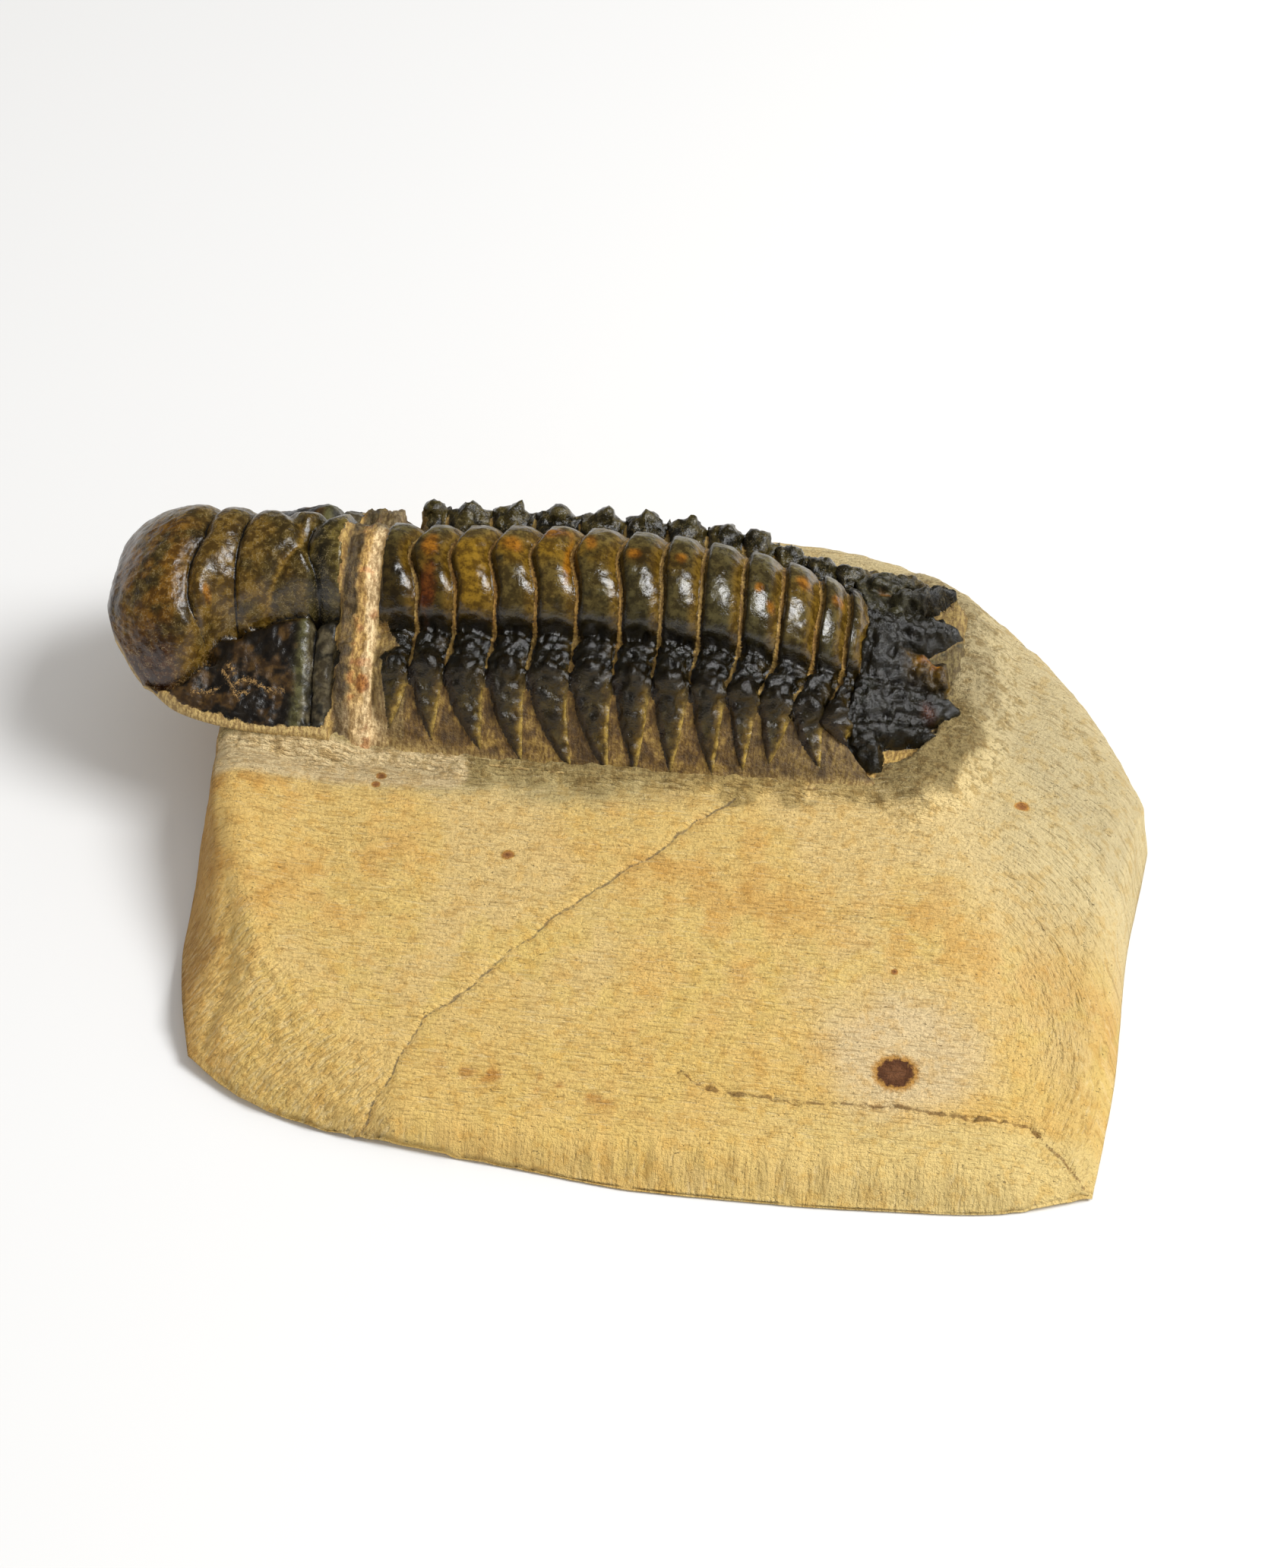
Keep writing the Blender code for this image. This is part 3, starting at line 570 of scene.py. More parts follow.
# %% Tail measures and shape
# root and tip as (x, across), then their heights and half the width at the root
TAIL_SPINES = (((22.4, 5.7), (27.6, 8.6), 15.0, 13.2, 0.9),
               ((20.4, 8.0), (25.2, 10.2), 14.0, 12.2, 1.1),
               ((19.6, 1.8), (28.5, 4.6), 16.0, 12.6, 1.9),
               ((19.0, -5.3), (28.8, -3.9), 15.6, 12.6, 2.3),
               ((19.8, -7.6), (27.2, -7.2), 14.2, 12.6, 1.0),
               ((17.6, -6.2), (21.9, -10.9), 15.1, 13.2, 2.1))
MIDDLE_SHIFT, MIDDLE_END, RIPPLE, RIPPLE_LENGTH = -1.5, 27.3, 0.2, 1.9
TAIL_ROCK_Z = 11.6


def spine_shape(x, across, spine):
    (x0, s0), (x1, s1), z0, z1, half = spine
    dx, ds = x1 - x0, s1 - s0
    held = np.clip(((x - x0) * dx + (across - s0) * ds) / (dx * dx + ds * ds), 0.0, 1.0)
    away = np.hypot(x - x0 - held * dx, across - s0 - held * ds)
    width = half * (1.03 - held**1.7)**0.75 + 0.15 * held
    tip = smooth_step(0.72, 1.0, held)
    ridge = z0 + (z1 - z0) * held - 0.9 * tip - 1.3 * smooth_step(0.90, 1.0, held)
    return ridge - 1.5 * (away / width)**(2.4 - 0.6 * tip)


def tail_shape(x, across):
    """Height of the tail, and how far its shell stands above the rock around it."""
    side = np.abs(across)
    crest, lobe, half = (through(x, knots) for knots in (CREST_Z, LOBE_HEIGHT, LOBE_HALF))
    off = np.abs(across - MIDDLE_SHIFT * smooth_step(17.0, 22.0, x))
    ripple = RIPPLE * (1.0 - np.cos(2.0 * math.pi * x / RIPPLE_LENGTH))
    middle = crest - ripple - 2.0 * lobe * (off / half)**2.2
    middle = middle - 3.0 * smooth_step(MIDDLE_END - 0.9, MIDDLE_END + 0.2, x)
    field = crest - lobe + 0.2 - 0.30 * np.maximum(side - half, 0.0)
    field = field - 1.2 * np.maximum(x - 22.6, 0.0)
    field = field - 4.0 * smooth_step(7.6, 8.4, -across) - 0.9 * smooth_step(4.0, 8.0, across)
    shell = soft_max(middle, field, 0.5)
    for spine in TAIL_SPINES:
        shell = soft_max(shell, spine_shape(x, across, spine), 0.25)
    rock = TAIL_ROCK_Z - 1.2 * smooth_step(0.75, 1.0, side / through(x, OUTLINE_HALF))
    rock = rock - 1.7 * smooth_step(27.4, TAIL_END - 0.3, x)
    return soft_max(shell, rock, 0.2), shell - rock


print("tail spines:", len(TAIL_SPINES))

# %% [markdown]
# ## The break behind the head
# Behind the head the shell is lost across the body, and a few rib ends beside it are broken off.
# Pale rock fills the gap, a little lower than the rings. Cutting a gap out of the finished mesh
# would leave raw edges, so the rings' height is swapped for a plain arch there.

# %% Lost shell and the arch of rock
BREAK_DROP, RING_0, ARCH_SHIFTS = 0.35, -16.6, (-1.2, -0.4, 0.4, 1.2)
BURY = 12.0                   # how deep a form is sunk where another takes over


def lost_shell(x, side, across, uneven):
    """How much of the ribs beside the break is gone."""
    lost = smooth_step(4.2, 6.4, side + uneven)
    lost = lost * (1.0 - smooth_step(-20.3, -18.2, x + 0.8 * uneven))
    return lost * np.where(across > 0, 2.2, 1.0)


def arch_of_rock(x, across):
    """The break's rock: the height of one ring, evened out and lowered."""
    arch = sum(body_shape(np.full_like(x, RING_0), across + shift)[0] for shift in ARCH_SHIFTS)
    return arch / len(ARCH_SHIFTS) - BREAK_DROP


print("rock in the break up to", arch_of_rock(np.zeros(1), np.zeros(1)).round(1), "mm")

# %% [markdown]
# ## One surface from head to tail
# Head, break, rings and tail are joined into a single height for every place. Separate meshes
# would meet in seams, and the real animal has none. The whole fossil leans a little to the
# front, so the lean is added last, to all of it. Besides the height, the function gives what the
# colours need later, such as how deep a place lies in rock.

# %% Join the parts of the fossil
UNDERSIDE_HEAD, UNDERSIDE, UNDERSIDE_TURN, WEB = 11.2, 9.8, (-34.0, -22.0), 0.5


def underside_height(x):
    return UNDERSIDE_HEAD + (UNDERSIDE - UNDERSIDE_HEAD) * smooth_step(*UNDERSIDE_TURN, x)


def fossil_shape(x, across):
    """Heights and the measures that the colours need, for every place of the fossil."""
    side = np.abs(across)
    rib_place = x + swept(x, across)
    body, rock, front, behind = body_shape(rib_place, across)
    uneven = rough(np.column_stack([x, across, 0.0 * x]), 1.6, 5)
    lost = lost_shell(x, side, across, uneven)
    body = body - 0.9 * lost
    rock = np.maximum(rock, 1.2 * lost - 0.6)
    in_body = smooth_step(THORAX_FRONT + 0.1, THORAX_FRONT + 0.7, x)
    height = body * in_body + arch_of_rock(x, across) * (1.0 - in_body)
    rock = np.where(x < THORAX_FRONT + 0.5, 0.8, rock)

    head, line = head_shape(x, across)
    past_head = smooth_step(HEAD_BACK - 0.3, HEAD_BACK + 0.3, x)
    height = height * past_head + head * (1.0 - past_head)
    edge = through(x, OUTLINE_HALF)
    rim_rock = side - edge + 0.5 + 0.25 * uneven - 1.5 * (across > 0)
    rim_rock = rim_rock - 2.0 * (1.0 - smooth_step(-42.0, -38.0, x))
    rock = np.where(x + 0.5 * uneven < HEAD_BACK, rim_rock, rock)
    line = line + 3.0 * past_head

    tail, stands = tail_shape(x, across)
    past = ring_number(rib_place, side)
    sinks = BURY * smooth_step(LAST_BLADE + 0.42, LAST_BLADE + 0.75, past)
    rises = BURY * (1.0 - smooth_step(LAST_BLADE + 0.05, LAST_BLADE + 0.45, past))
    in_tail = (tail - rises) > (height - sinks)
    height = soft_max(height - sinks, tail - rises, 0.35)
    rock = np.where(in_tail, -stands, rock)

    lean = ROLL * across * (1.0 - smooth_step(SHOULDER, edge, side))
    height = height + lean * smooth_step(*ROLL_FROM, x)
    web = underside_height(x) + WEB - 0.2 * smooth_step(-24.0, -20.0, x)
    near_rim = smooth_step(edge - 0.5, edge, side) * (x > THORAX_FRONT)
    height = height * (1.0 - near_rim) + web * near_rim
    return np.maximum(height, web), rock, line, front, behind, in_tail


print("underside", UNDERSIDE_HEAD, "mm up at the head,", UNDERSIDE, "mm at the body")

# %% [markdown]
# ## Rows that follow the ribs
# The real shell has features everywhere, so the mesh is a fine sheet of squares about 0.15 mm
# wide. A plain square net would do for a pebble, but a groove that cuts across squares comes out
# as a saw edge. So the rows of points run along the ribs and bow round the head, and the columns
# stand closer together where the blades are steep.

# %% Places of the rows and columns
NOSE_ROWS, HEAD_ROWS, GAP_ROWS, RIB_ROWS, TAIL_ROWS = 30, 116, 18, 276, 54
NOSE_LENGTH, RIBS_FROM, RIBS_TO = 5.0, -1.5, 12.0
HALF_COLUMNS, FALL_WEIGHT = 90, 0.75


def row_places():
    """x of the rows on the head, and ring numbers of the rows behind it."""
    bend = np.linspace(0.0, math.pi / 2, NOSE_ROWS)
    nose = HEAD_FRONT + NOSE_LENGTH * (1.0 - np.cos(bend))
    head = np.linspace(nose[-1], HEAD_BACK, HEAD_ROWS)[1:]
    gap = np.linspace(FIRST_GROOVE, RIBS_FROM, GAP_ROWS)[1:]
    ribs = np.linspace(RIBS_FROM, RIBS_TO, RIB_ROWS)[1:]
    tail = np.interp(np.linspace(21.0, TAIL_END, TAIL_ROWS)[1:], GROOVE_X[:, 0],
                     FIRST_GROOVE + np.arange(len(GROOVE_X)))
    return np.concatenate([nose, head]), np.concatenate([gap, ribs, tail])


def column_places():
    """Distances from the middle line, evenly spaced along the curved cross-section."""
    side = np.linspace(0.0, HALF_WIDTH, 600)
    height = fossil_shape(np.full(600, RING_0 + 10.3), side)[0]
    steps = np.hypot(np.diff(side), FALL_WEIGHT * np.diff(height))
    length = np.concatenate([[0], np.cumsum(steps)])
    half = np.interp(np.linspace(0, length[-1], HALF_COLUMNS), length, side)
    return np.concatenate([-half[:0:-1], half])


head_rows, numbers = row_places()
samples = column_places()
rows, columns = len(head_rows) + len(numbers), len(samples)
print(rows, "rows of", columns, "points")

# %% Lay out the points of the fossil's upper side
NOSE_BOW, TAIL_BOW, TAIL_BOW_FROM = 1.5, 1.2, 23.0

station = np.concatenate([head_rows, ring_x(numbers, np.full(len(numbers), HALF_WIDTH))])
side_share = np.tile(samples / HALF_WIDTH, rows)
across = side_share * np.repeat(through(station, OUTLINE_HALF), columns)
x = np.repeat(station, columns)
bow = NOSE_BOW * (1.0 - smooth_step(HEAD_FRONT, -37.0, x))
bow = bow - TAIL_BOW * smooth_step(TAIL_BOW_FROM, TAIL_END, x)
behind_head = slice(len(head_rows) * columns, None)
x[behind_head] = ring_x(np.repeat(numbers, columns), np.abs(across[behind_head]))
x[behind_head] -= swept(x[behind_head], across[behind_head])
x = x + bow * side_share**2
height, rock, line, front, behind, in_tail = fossil_shape(x, across)
side = np.abs(across)
spot = np.stack([x, across, height], axis=1)
print("back up to", height.max().round(1), "mm")

# %% [markdown]
# ## Zones and knobs
# Up close the shell is never smooth, and each part has a look of its own. A painter would mask
# the parts off; here a number from 0 to 1 says how much each place belongs to the head, the
# middle lobe, the inner ribs, the blades, the tail or the break. At the shoulder every rib bears
# one big knob, and a small one sits on each groove.

# %% Zones of the fossil
def zones():
    """How much each place belongs to the head, middle lobe, inner ribs, blades and tail."""
    head = 1.0 - smooth_step(HEAD_BACK - 0.3, HEAD_BACK + 0.3, x)
    body = (1.0 - head) * ~in_tail
    lobe = body * (1.0 - smooth_step(lobe_half - 0.3, lobe_half + 0.1, side))
    blade = body * smooth_step(SHOULDER - 0.6, SHOULDER + 0.8, side)
    return head, lobe, body - lobe - blade, blade, in_tail.astype(float)


lobe_half, past_glabella = through(x, LOBE_HALF), side - through(x, GLABELLA_HALF)
outside = side - through(x, OUTLINE_HALF)
head, lobe, ribs, blades, tail = zones()
in_break = smooth_step(HEAD_BACK - 0.1, HEAD_BACK + 0.4, x) * (1.0 - smooth_step(-21.1, -20.7, x))
far_side = smooth_step(5.0, 7.0, across)
shell = 1.0 - smooth_step(-0.12, 0.12, rock)
print("shell on", round(float(shell.mean() * 100)), "% of the points")

# %% Knobs on the shoulder
ringed = (1.0 - head) * (1.0 - tail) * (1.0 - in_break) * (x > -18.9)
from_groove = np.minimum(front, behind) + ROCK_HALF
big_knob = bell(front - behind - 0.2, 1.5) * bell(side - 8.5, 0.85) * ringed
small_knob = bell(from_groove, 0.42) * bell(side - 8.85, 0.5) * ringed
knob_shell = smooth_step(0.35, 0.6, small_knob)
rock = rock - 1.2 * knob_shell
shell = np.maximum(shell, knob_shell)
print("knobs on", round(float((big_knob > 0.5).mean() * 100), 1), "% of the points")

# %% [markdown]
# ## Wear and grain
# The ribs are lumpy and pitted, the head is finely pimpled, and the rock is grainy. Scans of
# real stone could be laid on, but they would repeat. Several kinds of noise are mixed instead,
# and each zone takes its own amounts of them, in millimetres.

# %% Relief of the shell and the rock
KNOB_HEIGHT, KNOB_HIGHER_FAR = 0.62, 0.25

lumps, fine = rough(spot, 1.1, 11), rough(spot, 0.45, 21)
holes = 1.0 - smooth_step(0.15, 0.5, pits(spot, 1.0, 31))
pebbles = 1.0 - 2.2 * pits(spot, 0.75, 35)**2
streaks = rough(spot * (1, 0.4, 0.4), 0.7, 41)
lobe_grain = rough(spot * (0.5, 1, 1), 0.5, 45)
break_grain = rough(spot * (1.3, 0.35, 0.35), 0.8, 51)
on_cheek = head * smooth_step(0.3, 0.9, past_glabella) * smooth_step(-39.5, -37.0, x)

knob_height = KNOB_HEIGHT + KNOB_HIGHER_FAR * far_side
relief = knob_height * big_knob * (1.0 + 0.25 * fine)
relief += knob_height * small_knob
relief += shell * head * (0.05 * lumps + 0.04 * fine)
relief += shell * on_cheek * (0.09 * lumps + 0.10 * smooth_step(-28.0, -26.5, x) * pebbles)
relief += shell * lobe * (0.05 * lumps + 0.03 * fine + 0.03 * lobe_grain)
relief += shell * ribs * (0.16 * lumps + 0.20 * pebbles + 0.08 * fine - 0.30 * holes)
relief += shell * blades * (0.14 * streaks + 0.12 * pebbles + 0.06 * fine - 0.20 * holes)
relief += shell * tail * (0.18 * lumps + 0.22 * pebbles + 0.11 * fine - 0.26 * holes)
relief += (1.0 - shell) * (0.06 * fine + 0.05 * lumps)
relief += in_break * (0.2 * break_grain + 0.08 * fine)
relief -= 0.30 * bell(side - lobe_half, 0.22) * (1.0 - head) * (1.0 - tail) * (1 - in_break)
print("relief from", relief.min().round(2), "to", relief.max().round(2), "mm")

# %% [markdown]
# ## Pushing the relief out
# Relief could simply be added to the height, but on a steep blade that only shears it. It is
# pushed out along the surface instead, so that the blades get as much of it as the flat back. At
# the rim it fades out, and nothing rises past the top of the CAD box.

# %% Push the relief out along the surface
def along_normals(spots, amount, rows, columns):
    """Moves a grid of points along its own normals."""
    grid = spots.reshape(rows, columns, 3)
    normal = np.cross(np.gradient(grid, axis=1), np.gradient(grid, axis=0))
    normal /= np.maximum(np.linalg.norm(normal, axis=2, keepdims=True), 1e-9)
    normal *= np.where(normal[:, :, 2:3] < 0, -1.0, 1.0)
    return spots + normal.reshape(-1, 3) * amount[:, None]


rim_share = np.clip(np.minimum(HALF_WIDTH - np.abs(samples), 0.6) / 0.6, 0.0, 1.0)
calm = smooth_step(HEAD_FRONT - 0.1, -44.3, station)
calm = calm * (1.0 - smooth_step(TAIL_END - 0.4, TAIL_END, station))
calm = np.tile(rim_share, rows) * np.repeat(calm, columns)
calm = calm * (1.0 - 0.5 * smooth_step(26.0, 28.5, x))
upper = along_normals(spot, relief * calm, rows, columns)
upper[:, 2] = np.minimum(upper[:, 2], cad_box[1][2] / MM - 0.02)
print("highest point", upper[:, 2].max().round(2), "mm")

# %% [markdown]
# ## Closing the solid
# The fossil has a thickness, and the head juts out over the block's end and shows its underside
# from low down. A Solidify modifier would fold over itself at the blades, so the sheet gets a
# rounded edge strip that tucks in under the body, and a rough underside.

# %% Helpers for closed pieces
EDGE_ROWS, UNDER_COLUMNS = 5, 12


def grid_faces(rows, columns, start=0):
    corner = (np.arange(rows - 1)[:, None] * columns + np.arange(columns - 1)).ravel() + start
    return np.stack([corner, corner + 1, corner + columns + 1, corner + columns], axis=1)


def rim_indices(rows, columns):
    first = list(range(columns))
    right = [row * columns + columns - 1 for row in range(1, rows)]
    last = [(rows - 1) * columns + column for column in range(columns - 2, -1, -1)]
    left = [row * columns for row in range(rows - 2, 0, -1)]
    return np.array(first + right + last + left)


def bridge(outer, inner):
    """A strip of squares between two closed lines of points."""
    return np.stack([outer, np.roll(outer, -1), np.roll(inner, -1), inner], axis=1)


def points_in(strips):
    """The number of points laid so far."""
    return sum(len(strip) for strip in strips)


print("a 3 by 4 grid has a rim of", len(rim_indices(3, 4)), "points")

# %% Edge strip
rim = rim_indices(rows, columns)
rim_x, rim_across = upper[rim, 0], upper[rim, 1]
tuck = 0.80 + 0.17 * smooth_step(*UNDERSIDE_TURN, rim_x)
inwards = 2.2 * (1.0 - smooth_step(HEAD_FRONT, -40.0, rim_x))
inwards = inwards - 0.4 * smooth_step(25.0, TAIL_END, rim_x)
low = np.stack([rim_x + inwards, rim_across * tuck, underside_height(rim_x)], axis=1)
strips, faces, ring_of_points = [upper], [grid_faces(rows, columns)], rim
for step in range(1, EDGE_ROWS + 1):
    angle = step / EDGE_ROWS * math.pi / 2
    share_in, share_down = 1.0 - math.cos(angle), math.sin(angle)
    below = points_in(strips) + np.arange(len(rim))
    strips.append(upper[rim] + (low - upper[rim]) * (share_in, share_in, share_down))
    faces.append(bridge(ring_of_points, below))
    ring_of_points = below
print("edge strip of", len(rim) * EDGE_ROWS, "squares")

# %% Underside
order = np.arange(rows)
near = ring_of_points[np.where(order == 0, 0, 2 * columns + 2 * rows - 4 - order)]
far = ring_of_points[columns - 1 + order]
points = np.concatenate(strips)
share = np.linspace(0, 1, UNDER_COLUMNS + 1)[1:-1]
inner = points[near][:, None] + (points[far] - points[near])[:, None] * share[None, :, None]
inner = inner.reshape(-1, 3)
inner[:, 2] += 0.2 + 0.15 * rough(inner, 2.5, 61)
table = np.column_stack([near, len(points) + np.arange(len(inner)).reshape(rows, -1), far])
faces.append(np.stack([table[:-1, :-1], table[1:, :-1], table[1:, 1:], table[:-1, 1:]],
                      axis=-1).reshape(-1, 4))
points = np.concatenate([points, inner])
front_cap = list(ring_of_points[:columns]) + list(table[0, -2:0:-1])
back_cap = list(ring_of_points[columns + rows - 2:2 * columns + rows - 2]) + list(table[-1, 1:-1])
print("underside of", len(inner), "points")

# %% [markdown]
# ## A piece of the shared frame
# The points so far are in the drawing's millimetres. A piece is made from them in metres, moved to
# the frame's zero, with all its faces turned outwards. It rides on the body and stands for its CAD
# solid.

# %% Make the fossil
def make_piece(name, points, faces, caps, node):
    """A mesh object of the shared frame, from points in the drawing's millimetres."""
    mesh = bpy.data.meshes.new(name)
    placed = (points + (PLACE[0], PLACE[1], 0.0)) * MM
    mesh.from_pydata(placed.tolist(), [], np.concatenate(faces).tolist() + caps)
    shape = bmesh.new()
    shape.from_mesh(mesh)
    bmesh.ops.recalc_face_normals(shape, faces=shape.faces)
    shape.to_mesh(mesh)
    shape.free()
    mesh.shade_smooth()
    piece = add_object(name, mesh)
    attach(piece, "root")
    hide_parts(node)
    return piece


fossil = make_piece("fossil", points + (0.0, AXIS_Y, 0.0), faces, [front_cap, back_cap],
                    "trilobite")
fossil.data.validate()
print("fossil:", len(points), "points,", sum(len(f) for f in faces) * 2, "triangles")

# %% [markdown]
# ## The head's colours
# The shell is brown like dark toffee where it is thin and black where it is thick: olive and
# brown on the head, nearly black on the cheek, with greyer shell at the back. One noise texture
# for all of it would miss where each tone sits. So washes are laid by zone, the lowest first, and
# noise keeps their edges ragged. Each line says how thick a wash is and gives its paint.

# %% Washes for the head
OLIVE, AMBER, ORANGE = paint(98, 74, 32), paint(122, 92, 30), paint(150, 94, 26)
BLACK, GREY = paint(20, 17, 12), paint(84, 80, 58)
UMBER, DUSTY = paint(36, 26, 14), paint(92, 78, 50)

count = len(upper)
blotch, ragged = 0.5 + 0.5 * rough(spot, 3.2, 71), 0.5 + 0.5 * rough(spot, 1.2, 75)
cheek = head * smooth_step(0.1, 0.6, past_glabella) * smooth_step(-39.5, -38.0, x)
rear = smooth_step(-27.3, -26.7, x) * head
rear_ragged = smooth_step(0.1, 0.5, ragged + 0.1 * side)
first_line = bell(x - through(side, FURROWS["first"][0]), 0.22) * (across < 1.5) * (side < 5.6)
nose_dark = smooth_step(-41.8, -44.6, x)
nose_dark = nose_dark + smooth_step(6.5, 9.0, side) * smooth_step(-36.0, -38.5, x)

shell_color = washed(np.tile(OLIVE, (count, 1)), (
    (0.8 * smooth_step(0.4, 0.7, blotch), paint(66, 54, 28)),
    (0.8 * smooth_step(-35.0, -39.0, x) * smooth_step(0.25, 0.7, ragged), paint(116, 78, 22)),
    (0.5 * smooth_step(0.5, 3.0, across), DUSTY),
    (0.9 * nose_dark * smooth_step(0.1, 0.6, ragged + 0.3), paint(58, 28, 10)),
    (0.8 * bell(x + 36.4, 0.8) * bell(across + 0.6, 1.5), UMBER),
    (0.8 * bell(x + 33.1, 0.6) * bell(across + 0.2, 1.4), UMBER),
    (0.55 * first_line * head * (past_glabella < 0), paint(150, 116, 58)),
    (rear, paint(102, 87, 50)),
    (rear * 0.95 * bell(x + 26.0, 1.3) * rear_ragged, paint(30, 26, 18)),
    (cheek * (1.0 - rear), paint(24, 16, 8)),
    (0.75 * cheek * smooth_step(0.5, 0.75, ragged) * (1.0 - rear), paint(84, 57, 16)),
    (cheek * rear, paint(96, 86, 80)),
    (0.85 * cheek * rear * smooth_step(0.45, 0.7, ragged), paint(24, 22, 18)),
    (bell(x + 27.1, 0.45) * cheek, GREY)), where=head)
print("head washes on", count, "points")

# %% [markdown]
# ## The rings' and ribs' colours
# The middle lobe runs from amber on the front rings to dark grey-brown further back, darker
# towards each ring's front edge and warmer at its back edge. That dark front edge, on the rings
# and on the blades, is partly a stain and partly painted shade on the steep side that faces away
# from the light. The ribs are black, the blades brown with dark streaks and a pale line along
# their back edge. The same way of working fits them, because every place knows its ring and how
# far it is from both edges.

# %% Washes for the rings, the ribs and the blades
RING_AMBER = (0.1, 0.4, 1.0, 0.75, 0.9, 0.6, 0.2, 0.3, 0.2, 0.2, 0.7, 0.3, 0.1)

body = 1.0 - head
ring_tone = np.interp(blade_number(x, side), range(-1, 12), RING_AMBER)
# painted shade mixed with a real stain: the share that darkens each ring's steep front edge, the
# side facing away from the light
front_stain_and_shade, back_glow = 1.0 - smooth_step(0.1, 0.65, front), 1.0 - smooth_step(0.3, 1.1, behind)
near_lobe = smooth_step(-0.4, -2.2, across + 0.8 * (ragged - 0.5))
upper_blade = 1.0 - smooth_step(9.4, 10.8, side + 1.6 * (ragged - 0.5))
back_edge = 1.0 - smooth_step(0.0, 1.0, behind + 0.6 * (ragged - 0.5))
back_line = 1.0 - smooth_step(0.05, 0.4, behind + 0.2 * (ragged - 0.5))
knob = np.maximum(big_knob, small_knob)
shell_color = washed(shell_color, (
    (body, paint(34, 28, 18)),
    (lobe * ring_tone * smooth_step(0.1, 0.55, ragged + 0.3 * ring_tone), AMBER),
    (lobe * (1 - ring_tone) * smooth_step(0.55, 0.8, blotch), paint(58, 48, 28)),
    (0.55 * lobe * smooth_step(-0.5, 1.6, across) * smooth_step(0.2, 0.6, blotch), DUSTY),
    (0.85 * lobe * (1.0 - ring_tone) * smooth_step(2.0, 7.0, x), paint(70, 62, 46)),
    (0.5 * lobe * smooth_step(0.4, 2.4, across), paint(92, 84, 66)),
    (0.65 * lobe * near_lobe * smooth_step(-13.0, -10.0, x), paint(70, 64, 50)),
    (0.7 * lobe * back_glow, paint(112, 84, 34)),
    # painted shade mixed with a real stain: the lobe darkens towards each ring's front edge
    (0.85 * lobe * front_stain_and_shade, paint(26, 18, 10)),
    (ribs, BLACK),
    (0.5 * ribs * back_glow * smooth_step(0.5, 0.7, ragged), paint(74, 58, 30)),
    (0.75 * bell(side - lobe_half + 0.15, 0.5) * (ringed > 0), paint(22, 18, 12)),
    (blades, paint(66, 54, 28)),
    (blades * smooth_step(0.0, 5.0, x) * 0.7, paint(48, 41, 24)),
    (0.8 * blades * smooth_step(0.45, 0.7, 0.5 + 0.5 * streaks), paint(36, 27, 13)),
    (0.85 * blades * upper_blade, paint(24, 20, 13)),
    (0.8 * blades * back_edge, paint(112, 86, 40)),
    # painted shade mixed with a real stain: a dark red-brown line along each blade's front edge
    (0.9 * blades * front_stain_and_shade, paint(34, 14, 7)),
    (0.85 * blades * back_line, paint(168, 140, 84)),
    (0.6 * ribs * far_side * smooth_step(0.35, 0.65, ragged), paint(86, 74, 44)),
    (0.7 * knob * (1.0 - far_side), paint(28, 21, 13)),
    (0.8 * knob * far_side, paint(60, 54, 36))))
print("most amber ring:", RING_AMBER.index(max(RING_AMBER)) - 1)

# %% [markdown]
# ## The tail's colours and the worn spots
# The tail is black with a little brown in its notches. On a few crests the polish went through
# to orange, and one ring has a red patch. They are placed one by one, because they sit where the
# real shell wore thin. Last, one tint pulls all the shell a little towards green.

# %% Washes for the tail, and worn spots
WORN_SPOTS = ((-17.0, 0.3, 0.55, 1.2), (-10.2, 0.6, 0.95, 0.9), (-6.9, 1.9, 1.2, 0.7),
              (-5.3, -0.4, 0.35, 2.6), (-3.6, 1.0, 0.5, 0.8), (0.1, 0.0, 0.6, 0.5),
              (3.9, 0.1, 0.5, 0.5), (10.6, -1.2, 0.35, 0.45), (11.6, -2.3, 0.35, 0.45),
              (14.2, 0.6, 0.6, 0.9), (17.2, 0.4, 0.55, 0.8), (21.6, 7.0, 0.9, 0.35),
              (-35.1, -5.2, 0.35, 0.6), (25.3, -1.3, 1.0, 0.45))
WORN_PAINTS = ((WORN_SPOTS, 0.7, 0.7, (0.4, 1.4), ORANGE),
               (((-16.9, -3.1, 0.8, 1.6),), 0.6, 0.8, (0.5, 1.2), paint(100, 42, 14)))
PATINA = np.array((0.92, 0.93, 0.60))

shell_color = washed(shell_color, (
    (tail, paint(23, 20, 15)),
    (tail * smooth_step(2.5, 4.5, across) * smooth_step(25.0, 22.5, x), paint(52, 48, 36)),
    (0.8 * tail * smooth_step(8.8, 9.6, across), paint(96, 78, 38)),
    (tail * bell(across + 1.6, 0.9) * smooth_step(22.4, 24.0, x) * 0.85, paint(100, 74, 26)),
    (0.9 * bell(np.hypot(x - 23.4, across + 1.9), 0.35) * tail, BLACK),
    (0.6 * bell(np.hypot(x - 25.3, across + 5.4), 0.5) * tail, paint(86, 36, 14))))
for spots, thick, fray, (full, none), color in WORN_PAINTS:
    for spot_x, spot_across, long, wide in spots:
        gap = np.hypot((x - spot_x) / long, (across - spot_across) / wide) + fray * (ragged - 0.5)
        shell_color = wash(shell_color, thick * (1.0 - smooth_step(full, none, gap)), color)
shell_color *= PATINA
print("worn spots:", len(WORN_SPOTS))

# %% [markdown]
# ## The rock's colours
# The rock in the grooves is cream, between the blades it is brown and gold, in the break behind
# the head it is cream and pink with one rusty spot, and around the fossil it turns into the tan
# of the block. The rock is part of the same mesh, so it gets a colour layer of its own, and the
# shader later chooses between the two.

# %% Washes for the rock
TAN, CREAM, GOLD_BROWN = paint(192, 164, 106), paint(190, 158, 92), paint(114, 86, 38)

